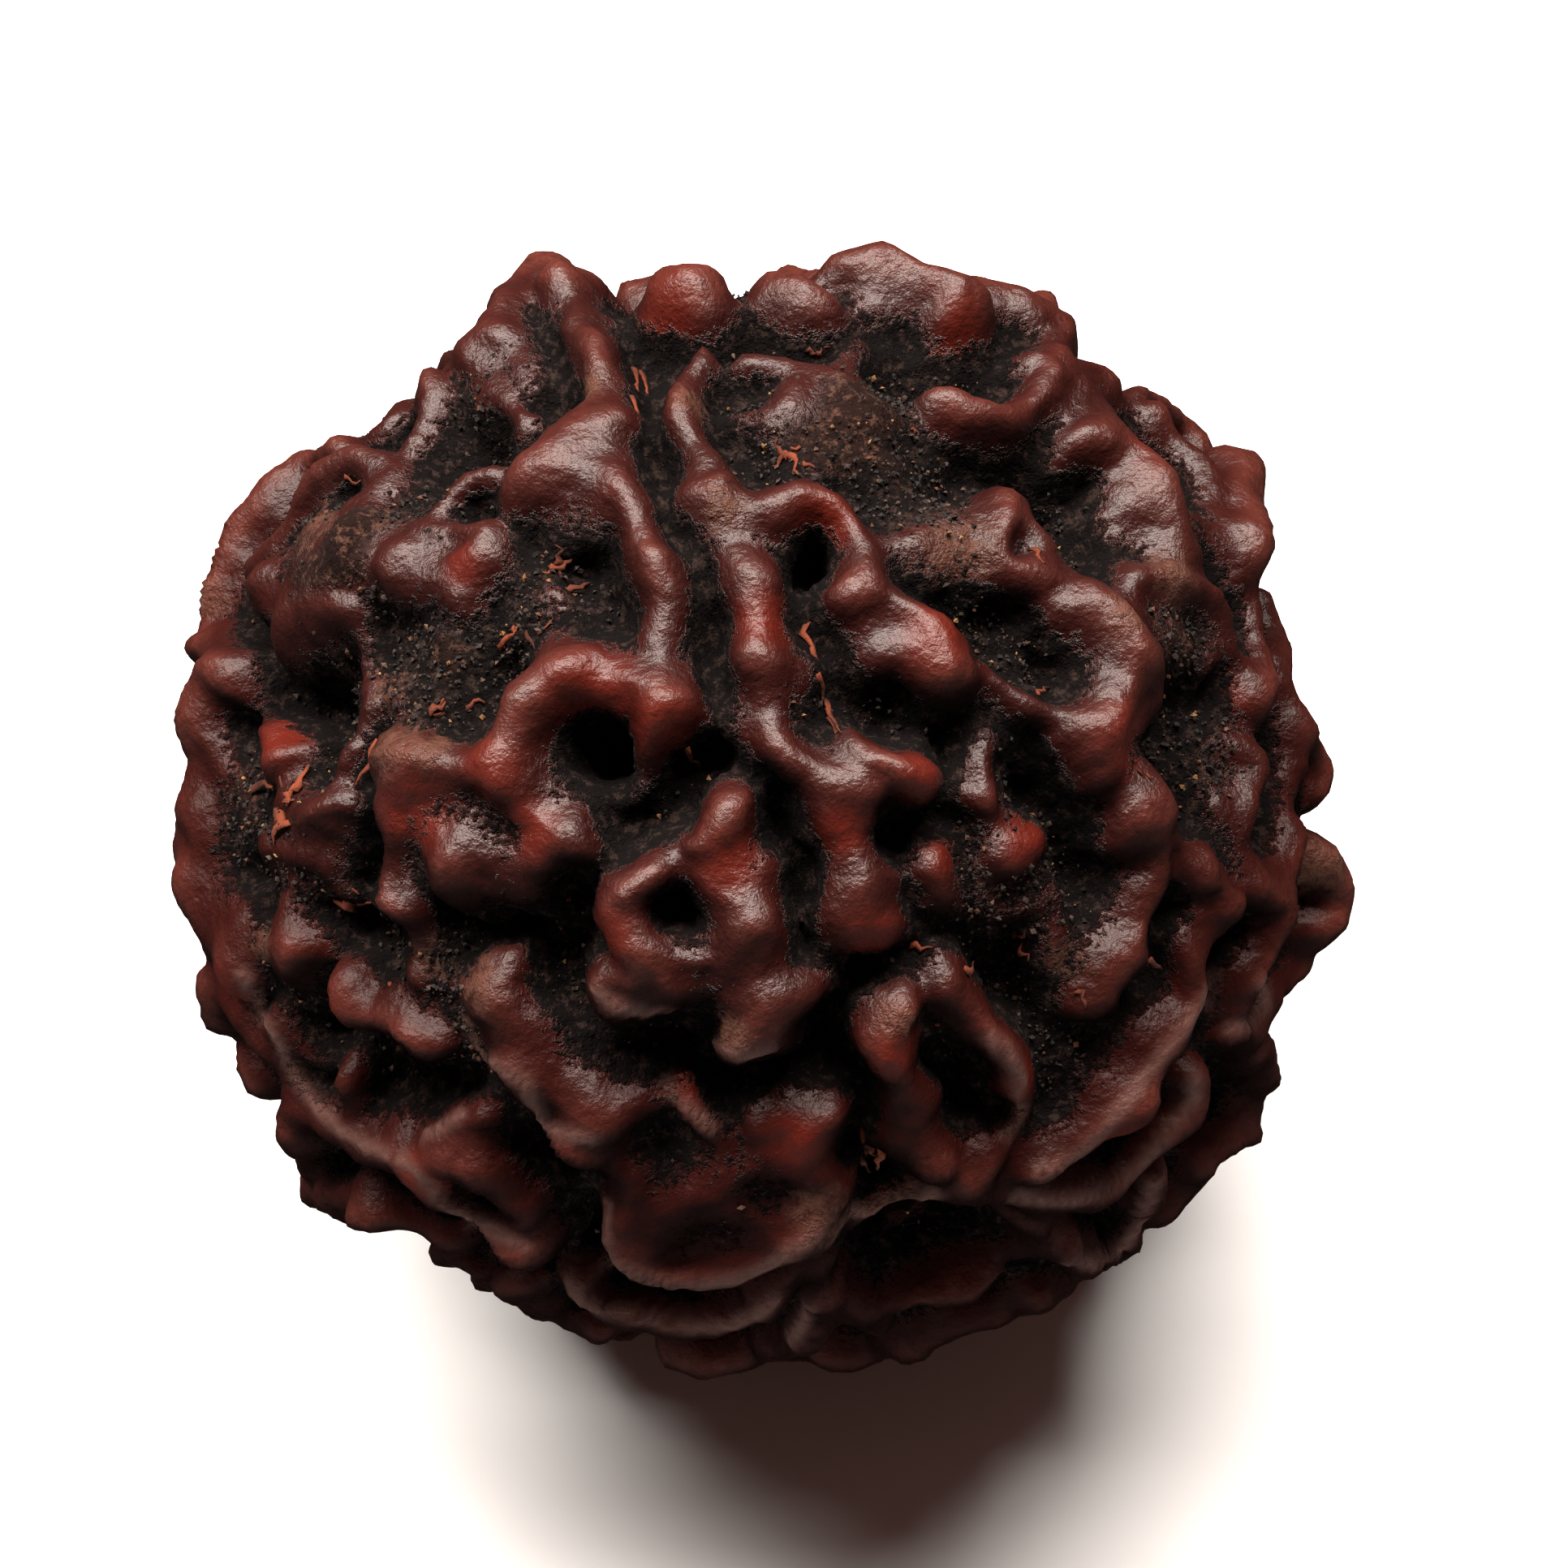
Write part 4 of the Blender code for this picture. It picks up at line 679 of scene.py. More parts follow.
def winding_ridges(kept):
    """Short winding ridges from a seeded draw, wherever bare ground is left on the hidden side."""
    draw = random.Random(27)
    toward = drawing_axes()[2]
    beds = np.concatenate(furrows())
    points, widths = crest_points(kept)
    grown = []

    def room(way):
        to_crests = np.linalg.norm(points - way, axis=1) * CREST_RADIUS - widths
        to_furrows = np.linalg.norm(beds - way, axis=1) * CREST_RADIUS - FURROW_ROOM
        return min(to_crests.min(), to_furrows.min())

    for _ in range(WIND_STARTS):
        way = unit([draw.gauss(0, 1) for _ in range(3)])
        half = draw.uniform(*WIND_HALVES)
        heading = unit(np.cross(way, [draw.gauss(0, 1) for _ in range(3)]))
        bend = draw.uniform(-WIND_BEND, WIND_BEND)
        steps = draw.randint(*WIND_STEPS)
        height = draw.uniform(*WIND_HEIGHTS)
        if toward @ way > HIDDEN_FROM or room(way) < half + WIND_START_ROOM:
            continue
        line = [way]
        for _ in range(steps):
            heading = heading @ turn(way, bend + draw.uniform(-WIND_BEND, WIND_BEND))
            way = unit(way + heading * WIND_STEP / CREST_RADIUS)
            heading = unit(heading - (heading @ way) * way)
            if room(way) < half + WIND_ROOM or toward @ way > WIND_END:
                break
            line.append(way)
        if len(line) < 2:
            line.append(unit(line[0] + heading * 0.1 / CREST_RADIUS))
        halves = ends((half, half * 0.8), len(line))
        heights = ends((height, height * 0.9), len(line))
        ridge = (np.array(line), halves, heights)
        grown.append(ridge)
        new_points, new_widths = crest_points([ridge])
        points = np.concatenate([points, new_points])
        widths = np.concatenate([widths, new_widths])
    return grown


def behind_outline(ridges):
    """Ridges of the hidden side, low enough near the outline not to change it."""
    toward = drawing_axes()[2]
    lowered = []
    for nodes, half_widths, heights in ridges:
        behind = np.maximum(-(nodes @ toward) - OUTLINE_WIDTH, 0.0)
        highest = OUTLINE_HEIGHT + OUTLINE_RISE * behind
        lowered.append((nodes, half_widths, np.minimum(heights, highest)))
    return lowered


def all_ridges():
    """Every ridge of the bead, front and back."""
    drawn = drawn_ridges()
    kept = drawn + mouth_lips() + resting_knobs()
    kept += behind_outline(turned_ridges(drawn, kept))
    kept += behind_outline(winding_ridges(kept))
    return kept


def quad_sphere(cells):
    """Even grid of quads on a ball of radius one, gathered into rings at the middle of both poles."""
    shape = bmesh.new()
    bmesh.ops.create_cube(shape, size=2.0)
    bmesh.ops.subdivide_edges(shape, edges=shape.edges[:], cuts=cells - 1, use_grid_fill=True)
    pole, front, side = furrow_frame()
    ring_edge = 2.0 * HOLE_RING / cells
    rings = shape.verts.layers.int.new("ring")
    for vertex in shape.verts:
        x, y, z = vertex.co
        if abs(z) > 0.999:
            square = max(abs(x), abs(y))
            vertex[rings] = round(square * cells / 2) + 1
            fade = min(max((square / ring_edge - 1.0) / 2.0, 0.0), 1.0)
            gather = 1.0 if square == 0.0 else fade + (1.0 - fade) * square / math.hypot(x, y)
            x, y = x * gather, y * gather
        across, along, up = (math.tan(value * math.pi / 4) for value in (x, y, z))
        vertex.co = unit(across * side + along * front + up * pole)
    return shape


def mesh_arrays(mesh):
    """Points, edge ends and quad corners of a mesh as arrays."""
    points = np.empty(3 * len(mesh.vertices))
    mesh.vertices.foreach_get("co", points)
    edges = np.empty(2 * len(mesh.edges), dtype=int)
    mesh.edges.foreach_get("vertices", edges)
    corners = np.empty(len(mesh.loops), dtype=int)
    mesh.loops.foreach_get("vertex_index", corners)
    return points.reshape(-1, 3), edges.reshape(-1, 2), corners.reshape(-1, 4)


def gathered(values, targets, count):
    """Sum of rows of values over the points that they belong to."""
    return np.stack([np.bincount(targets, column, count) for column in values.T], axis=1)


def neighbour_mean(values, edges):
    """Mean over each point's neighbours."""
    count = len(values)
    total = gathered(values[edges[:, 1]], edges[:, 0], count)
    total += gathered(values[edges[:, 0]], edges[:, 1], count)
    return total / np.bincount(edges.ravel(), minlength=count)[:, None]


def point_normals(points, quads):
    """Outward direction of the surface at each point."""
    a, b, c, d = (points[quads[:, k]] for k in range(4))
    facing = np.cross(c - a, d - b)
    return unit(gathered(np.tile(facing, (4, 1)), quads.T.ravel(), len(points)))


def settled(points, edges, quads, ridges):
    """The points spread evenly over the relief, down its steep walls too."""
    for _ in range(SETTLE_ROUNDS):
        normals = point_normals(points, quads)
        drift = neighbour_mean(points, edges) - points
        drift -= (drift * normals).sum(axis=1)[:, None] * normals
        points = points + SETTLE_SHARE * drift
        radius = np.linalg.norm(points, axis=1)
        off = relief(points / radius[:, None], ridges)(radius)[0]
        points = points - np.clip(off, -SETTLE_STEP, SETTLE_STEP)[:, None] * normals
    return points


def spread_over(values, edges, rounds):
    """Values blurred over the surface."""
    values = values[:, None]
    for _ in range(rounds):
        values = 0.5 * values + 0.5 * neighbour_mean(values, edges)
    return values[:, 0]


def eased(values, low, high):
    """Zero below low, one above high, with a soft step between."""
    share = np.clip((values - low) / (high - low), 0.0, 1.0)
    return share * share * (3 - 2 * share)


def mesh_of(shape, name):
    """A finished shape as a named mesh."""
    mesh = bpy.data.meshes.new(name)
    shape.to_mesh(mesh)
    shape.free()
    return mesh


ridges = all_ridges()
shape = quad_sphere(GRID_CELLS)
stone_mesh = mesh_of(shape, "rudraksha_stone")
ways, edges, quads = mesh_arrays(stone_mesh)
points = ways * outermost(ways, ridges)[:, None]
points = settled(points, edges, quads, ridges)
middle = (points.min(axis=0) + points.max(axis=0)) / 2
low, high = (np.array(corner) / MM for corner in cad_box)
BEAD_CENTRE = np.array([(low + high)[0] / 2 - middle[0], (low + high)[1] / 2 - middle[1], REST_DEPTH])

# What each place is like: ridge or ground, and how far it stands over its near and its wide
# surroundings. Both are blurs of the surface in so many rounds, and a height that counts as one.
NEAR_ROUNDS = 60
NEAR_RELIEF = 0.35
WIDE_ROUNDS = 400
WIDE_RELIEF = 0.8
radius = np.linalg.norm(points, axis=1)
ways = points / radius[:, None]
ground_share = relief(ways, ridges)(radius)[1]
proud = (radius - spread_over(radius, edges, NEAR_ROUNDS)) / NEAR_RELIEF
stands = (radius - spread_over(radius, edges, WIDE_ROUNDS)) / WIDE_RELIEF

# Crumbs and lumps of dried pulp and dirt stand up between the ridges, and the wood has shallow dents.
# Each has a height, then pairs of a strength and a number of swells to a millimetre.
CRUMBS = (0.1, (1.0, 3.2), (0.6, 6.1))
LUMPS = (0.16, (1.0, 1.1))
DENTS = (0.075, (1.0, 1.3), (0.7, 3.3))


def uneven(points, height, *swells):
    """How far an uneven surface stands up at each point."""
    return height * np.array([
        sum(strength * noise.noise(Vector(point) * pace) for strength, pace in swells) for point in points])


normals = point_normals(points, quads)
sooty = np.maximum(eased(-stands, -0.25, 0.45), 0.7 * eased(ground_share, 0.3, 0.9))
points = points + normals * ((uneven(points, *CRUMBS) + uneven(points, *LUMPS)) * sooty)[:, None]
points = points + normals * (uneven(points, *DENTS) * (1 - sooty))[:, None]


def surface_tree(spots):
    """Search tree over the stone's faces, in millimetres."""
    return BVHTree.FromPolygons((spots + BEAD_CENTRE).tolist(), quads.tolist())


def seen_spot(stone_tree, x, y):
    """Place on the stone where a sight line through the drawing meets it, and the way it faces."""
    eye = BEAD_CENTRE + EYE_DISTANCE * drawing_axes()[2]
    aim = BEAD_CENTRE + np.array([x, y, 0.0]) @ drawing_axes()
    return stone_tree.ray_cast(Vector(eye), Vector(unit(aim - eye)))[:2]


# Thin rims along the lower edges of the folds, raised a little and painted pale, part worn wood and
# part painted highlight: half width, height and their lines on the drawing
RIM_HALF = 0.13
RIM_HEIGHT = 0.06
RIMS = [
    [(-9.6, -3.0), (-9.35, -3.5), (-9.1, -4.0), (-8.85, -4.4), (-8.55, -5.0), (-8.2, -5.5),
     (-7.8, -5.9), (-7.3, -6.2), (-6.8, -6.4)],
    [(-6.65, -6.45), (-6.3, -6.7), (-6.0, -7.1), (-5.6, -7.4), (-5.1, -7.7), (-4.7, -7.9),
     (-4.2, -8.1)],
    [(-5.4, -3.9), (-5.1, -4.5), (-4.8, -4.8), (-4.35, -5.0), (-4.2, -5.4), (-4.0, -5.75),
     (-3.6, -5.95), (-3.0, -6.1)],
    [(-6.2, -6.0), (-5.9, -5.85), (-5.5, -5.6)],
    [(-2.8, -7.3), (-2.85, -8.0), (-2.75, -8.3), (-2.4, -8.55), (-1.8, -8.75), (-1.1, -8.8),
     (-0.4, -8.65), (0.2, -8.4), (0.6, -8.15), (1.2, -7.75)],
    [(-3.5, -8.7), (-3.45, -9.0), (-3.2, -9.2), (-2.7, -9.25), (-2.0, -9.4), (-1.2, -9.55),
     (-0.5, -9.5), (0.0, -9.3), (0.3, -9.0)],
    [(0.9, -9.2), (0.75, -9.6), (0.5, -9.9)],
    [(-0.8, -4.3), (-0.55, -4.45), (-0.2, -4.5), (0.3, -4.35)],
    [(-1.7, -5.05), (-1.5, -5.35), (-1.1, -5.65), (-0.8, -5.9)],
    [(-3.0, -3.3), (-2.6, -3.6), (-2.1, -3.7), (-1.6, -3.65)],
    [(1.7, -7.4), (2.3, -7.45), (2.9, -7.2), (3.4, -7.0)],
    [(8.3, -3.0), (8.2, -3.5), (7.9, -4.0), (7.5, -4.45), (7.1, -4.95), (6.8, -5.4), (6.4, -5.9),
     (5.9, -6.35), (5.5, -6.6), (5.1, -6.7)],
    [(8.05, -4.9), (8.05, -5.3), (7.7, -5.75), (7.3, -6.25), (6.9, -6.7), (6.4, -7.0), (5.9, -7.2),
     (5.3, -7.2), (4.6, -7.1)],
    [(7.35, -6.7), (7.25, -7.1), (7.0, -7.7), (6.7, -8.1), (6.2, -8.4), (5.7, -8.35)],
    [(9.3, -3.2), (9.35, -3.6), (9.0, -3.95), (8.6, -4.05)],
    [(4.3, -4.2), (4.7, -4.6), (4.85, -5.0), (4.8, -5.6), (4.5, -6.05)],
]


def rim_strength(spots):
    """How near each point of the stone lies to a rim, one on it."""
    stone_tree = surface_tree(spots)
    strength = np.zeros(len(spots))
    for line in RIMS:
        marks = []
        for (x0, y0), (x1, y1) in zip(line, line[1:]):
            for share in (0.0, 0.2, 0.4, 0.6, 0.8):
                x, y = x0 + share * (x1 - x0), y0 + share * (y1 - y0)
                marks.append(seen_spot(stone_tree, x, y)[0])
        gaps = [np.linalg.norm(spots + BEAD_CENTRE - np.array(mark), axis=1) for mark in marks if mark]
        strength = np.maximum(strength, np.exp(-((np.minimum.reduce(gaps) / RIM_HALF) ** 2)))
    return strength


rims_worn_and_highlighted = rim_strength(points)
points = points + normals * (RIM_HEIGHT * rims_worn_and_highlighted)[:, None]
stone_tree = surface_tree(points)
placed = (points + BEAD_CENTRE) * MM
placed[:, 2] = np.maximum(placed[:, 2], 0.0)
stone_mesh.vertices.foreach_set("co", placed.astype(np.float32).ravel())
normals = point_normals(points, quads)


def keep_on_points(mesh, name, values):
    """Store a number at each point of a mesh for its material to read."""
    attribute = mesh.attributes.new(name, "FLOAT", "POINT")
    attribute.data.foreach_set("value", values.astype(np.float32))


def spots_on_bead(ways, spots):
    """Strength of round patches at each direction: x, y and radius on the drawing."""
    strength = np.zeros(len(ways))
    for x, y, size in spots:
        gap = np.linalg.norm(ways - on_bead(x, y, CORE_RADIUS + PATCH_RISE), axis=1) * CREST_RADIUS
        strength = np.maximum(strength, np.exp(-((gap / size) ** 2)))
    return strength


# Painted glow: deep red-orange where light shining through the wood comes out
PAINTED_GLOWS = [
    (-1.8, 8.8, 0.8), (-5.3, 4.4, 0.45), (-2.9, 2.1, 0.9), (-1.7, 1.6, 0.6), (-6.0, 0.0, 0.8),
    (-4.6, 0.8, 0.6), (-4.0, -0.3, 0.6), (-2.6, -2.1, 0.5), (-0.5, -0.9, 0.6), (0.1, 3.4, 0.6),
    (1.2, 5.2, 0.6), (3.1, 3.1, 0.7), (2.8, 0.65, 0.5), (6.4, 1.3, 0.7), (6.9, 6.3, 0.7),
    (4.9, -0.5, 0.6), (3.4, -0.7, 0.5), (1.5, -0.3, 0.5), (2.0, -2.2, 0.6), (-9.0, 1.4, 0.7),
    (-9.2, -3.1, 0.6), (-7.7, -3.6, 0.5), (-5.8, -6.4, 0.6), (4.8, -4.8, 0.5), (6.2, -5.8, 0.8),
    (8.1, -2.8, 0.6), (9.5, -1.8, 0.6), (8.6, 2.1, 0.5), (3.6, 8.4, 0.5), (4.5, 9.4, 0.6),
    (2.1, 10.1, 0.6), (2.4, -4.2, 0.5), (0.6, -5.8, 0.6), (-1.4, -5.2, 0.5), (-9.0, 3.3, 0.6),
]

# Where dry brown dust clings to the wood
DUSTINGS = [
    (-6.4, 1.15, 0.7), (-5.7, 1.1, 0.5), (-7.0, 2.4, 0.5), (-6.9, 3.6, 0.5), (-8.9, -2.3, 0.6),
    (-6.1, -2.7, 0.5), (-5.1, -3.1, 0.6), (-7.8, 5.2, 0.9), (-9.7, 3.7, 0.5), (-10.7, 1.6, 0.8),
    (-10.6, 0.3, 0.7), (3.6, 4.8, 0.9), (2.9, 4.2, 0.5), (1.8, 7.4, 0.8), (0.6, 9.7, 0.7),
    (-2.6, 9.5, 0.5), (1.0, -6.9, 0.6), (1.4, -7.4, 0.5), (2.4, -7.3, 0.8), (2.4, -3.6, 0.4),
    (5.7, -2.8, 0.5), (-3.3, 7.6, 0.7), (-1.2, 7.4, 0.5), (-4.7, 9.5, 0.6), (-0.6, 5.4, 0.5),
    (6.3, 3.4, 0.5), (7.3, 4.2, 0.6), (9.8, -1.0, 0.7), (8.3, 1.1, 0.5), (-0.5, -3.9, 0.5),
]

# Painted shade darkens the wood as it faces down, from one upward share of its normal to the
# other, and the polish fades from the upper height above the floor to the lower
PAINTED_SHADE_RANGE = (-0.6, 0.3)
POLISH_RANGE = (12.5, 18.0)
POLISH_LEAST = 0.2
keep_on_points(stone_mesh, "ground", ground_share)
keep_on_points(stone_mesh, "proud", proud)
keep_on_points(stone_mesh, "stands", stands)
keep_on_points(stone_mesh, "rim_wear_and_highlight", rims_worn_and_highlighted)
keep_on_points(stone_mesh, "painted_glow", spots_on_bead(ways, PAINTED_GLOWS))
keep_on_points(stone_mesh, "dusting", spots_on_bead(ways, DUSTINGS))
keep_on_points(stone_mesh, "painted_underside_shade", eased(-normals[:, 2], *PAINTED_SHADE_RANGE))
polish = eased(placed[:, 2] / MM, *POLISH_RANGE)
keep_on_points(stone_mesh, "polish", POLISH_LEAST + (1.0 - POLISH_LEAST) * polish)


def linear(colour):
    """A colour written as sRGB hex, turned into the linear values that a shader takes."""
    channels = [int(colour[i:i + 2], 16) / 255 for i in (1, 3, 5)]
    return (*(c / 12.92 if c <= 0.04045 else ((c + 0.055) / 1.055) ** 2.4 for c in channels), 1.0)


def add_node(tree, kind, inputs=None, **settings):
    """Add a node with its settings; each input takes a value or the socket that feeds it."""
    made = tree.nodes.new(kind)
    for name, value in settings.items():
        setattr(made, name, value)
    for name, value in (inputs or {}).items():
        if isinstance(value, bpy.types.NodeSocket):
            tree.links.new(value, made.inputs[name])
        else:
            made.inputs[name].default_value = value
    return made


def new_material(name):
    """A new material with its node tree and its shader."""
    material = bpy.data.materials.new(name)
    material.use_nodes = True
    return material, material.node_tree, material.node_tree.nodes["Principled BSDF"]


def waxed_stone():
    """Oiled red-brown wood with a waxy bloom and painted sheen on its ridges, painted shade where it faces
    down, a painted red glow, pale rims partly painted highlight, brown dust low down and black soot lowest.
    """
    material, tree, shader = new_material("waxed_rudraksha_wood")
    place = add_node(tree, "ShaderNodeTexCoord").outputs["Object"]
    stands, proud, painted_glow, ground, rim_wear_and_highlight, painted_underside_shade, polish, dusting = (
        add_node(tree, "ShaderNodeAttribute", attribute_name=name).outputs["Fac"]
        for name in ("stands", "proud", "painted_glow", "ground", "rim_wear_and_highlight", "painted_underside_shade", "polish", "dusting"))

    # Uneven patterns, each with its size in millimetres, detail and roughness
    clouds, grains, pores, specks = (
        add_node(tree, "ShaderNodeTexNoise", {
            "Vector": place, "Scale": 1 / (size * MM), "Detail": detail, "Roughness": rough}).outputs["Fac"]
        for size, detail, rough in (
            (1.6, 4.0, 0.6), (0.16, 3.0, 0.7), (0.2, 4.0, 0.62), (0.24, 3.0, 0.75)))

    # Soot fills the low ground and thins out up the walls of the ridges, grain by grain. Dust of dried
    # pulp lies dull on the ground where no soot covers it.
    lift = add_node(tree, "ShaderNodeMath", {
        0: proud, 1: 0.45, 2: stands}, operation="MULTIPLY_ADD").outputs[0]
    sooty_edge, dusty_edge = (
        add_node(tree, "ShaderNodeMath", {
            0: grains, 1: share, 2: height}, operation="MULTIPLY_ADD").outputs[0]
        for share, height in ((-1.8, lift), (0.5, ground)))
    thick = add_node(tree, "ShaderNodeMath", {0: dusting, 1: specks}, operation="MULTIPLY").outputs[0]

    # How much each cover shows: what it follows, where it starts and is full, and the most of it
    soot, speckled, dusty, crest, glow, cling = (
        add_node(tree, "ShaderNodeMapRange", {
            "Value": value, "From Min": first, "From Max": full, "To Max": most},
            interpolation_type="SMOOTHSTEP").outputs[0]
        for value, first, full, most in (
            (sooty_edge, -0.7, -1.15, 1.0), (specks, 0.5, 0.68, 1.0), (dusty_edge, 0.55, 1.15, 1.0),
            (lift, 0.45, 1.5, 1.0), (painted_glow, 0.2, 1.0, 0.85), (thick, 0.15, 0.65, 0.8)))
    # Painted sheen: the crests are lightened together with the waxy bloom
    bloom_and_sheen = add_node(tree, "ShaderNodeMath", {0: crest, 1: clouds}, operation="MULTIPLY").outputs[0]

    # Wood, waxy bloom with painted sheen, dust and soot each run between two shades, and lie one over the
    # other
    colour, bloom_and_sheen_colour, dust, dirt = (
        add_node(tree, "ShaderNodeMix", {
            0: share, 6: linear(dark), 7: linear(light)}, data_type="RGBA").outputs[2]
        for share, dark, light in (
            (clouds, "#180504", "#2f0b07"), (specks, "#1c0907", "#6a3329"),
            (speckled, "#170d0b", "#412d25"), (speckled, "#080606", "#241b18")))
    # Painted glow: deep red-orange patches stand for light shining through the wood
    # Painted shade: the wood turns near black where it faces down
    # Pale rims: part worn wood, part painted highlight
    for share, cover in (
            (bloom_and_sheen, bloom_and_sheen_colour), (painted_underside_shade, linear("#0f0405")), (glow, linear("#491208")),
            (cling, linear("#4c3228")), (dusty, dust), (soot, dirt), (rim_wear_and_highlight, linear("#4e3631"))):
        colour = add_node(tree, "ShaderNodeMix", {
            0: share, 6: colour, 7: cover}, data_type="RGBA").outputs[2]

    # Bare wood shines softly under its wax, and every cover is dull
    dull = cling
    for cover in (dusty, soot):
        dull = add_node(tree, "ShaderNodeMath", {0: cover, 1: dull}, operation="MAXIMUM").outputs[0]
    roughness, glossy = (
        add_node(tree, "ShaderNodeMapRange", {"Value": dull, "To Min": 0.5, "To Max": most}).outputs[0]
        for most in (0.95, 0.0))
    coat, depth = (
        add_node(tree, "ShaderNodeMath", {0: first, 1: second}, operation="MULTIPLY").outputs[0]
        for first, second in ((glossy, polish), (grains, dull)))
    pitted = add_node(tree, "ShaderNodeBump", {"Height": pores, "Strength": 1.0, "Distance": 0.055 * MM})
    crumbly = add_node(tree, "ShaderNodeBump", {
        "Height": depth, "Strength": 1.0, "Distance": 0.1 * MM, "Normal": pitted.outputs[0]})
    tree.links.new(colour, shader.inputs["Base Color"])
    tree.links.new(roughness, shader.inputs["Roughness"])
    tree.links.new(coat, shader.inputs["Coat Weight"])
    tree.links.new(crumbly.outputs[0], shader.inputs["Normal"])
    tree.links.new(crumbly.outputs[0], shader.inputs["Coat Normal"])
    shader.inputs["Coat Roughness"].default_value = 0.35
    shader.inputs["Specular IOR Level"].default_value = 0.06
    shader.inputs["IOR"].default_value = 1.5
    return material


def bored(mesh):
    """Open the thread hole: take out the rings at both poles and join their edges by a tunnel."""
    pole, front, side = furrow_frame()
    shape = bmesh.new()
    shape.from_mesh(mesh)
    rings = shape.verts.layers.int["ring"]
    axis = Vector(pole)
    centre = Vector(BEAD_CENTRE * MM)
    inner = [face for face in shape.faces
             if all(0 < vertex[rings] <= HOLE_RING + 1 for vertex in face.verts)]
    bmesh.ops.delete(shape, geom=inner, context="FACES")
    mouths = [edge for edge in shape.edges if edge.is_boundary]
    for vertex in {vertex for edge in mouths for vertex in edge.verts}:
        along = (vertex.co - centre).dot(axis) * axis
        out = vertex.co - centre - along
        vertex.co = centre + along + out.normalized() * HOLE_RADIUS * MM
    tunnel = bmesh.ops.bridge_loops(shape, edges=mouths)["faces"]
    tunnel_edges = {edge for face in tunnel for edge in face.edges}
    long_edges = [edge for edge in tunnel_edges if edge.calc_length() > TUNNEL_EDGE * MM]
    bmesh.ops.subdivide_edges(shape, edges=long_edges, cuts=TUNNEL_CUTS, use_grid_fill=True)
    bmesh.ops.recalc_face_normals(shape, faces=shape.faces[:])
    shape.to_mesh(mesh)
    shape.free()


def in_scene(name, data):
    """A new object in the scene that holds a mesh, a lens or a lamp."""
    held = bpy.data.objects.new(name, data)
    bpy.context.scene.collection.objects.link(held)
    return held


bored(stone_mesh)
stone_mesh.shade_smooth()
stone = in_scene("ridged_stone", stone_mesh)
stone_mesh.materials.append(waxed_stone())
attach(stone, "root")
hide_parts("rudraksha_bead")

# The shreds of pulp
# Shreds of the dried fruit that once covered the stone, caught in its hollows when it was cleaned.
# They are flat orange-brown fibres, torn to a point, none of them over a millimetre long.

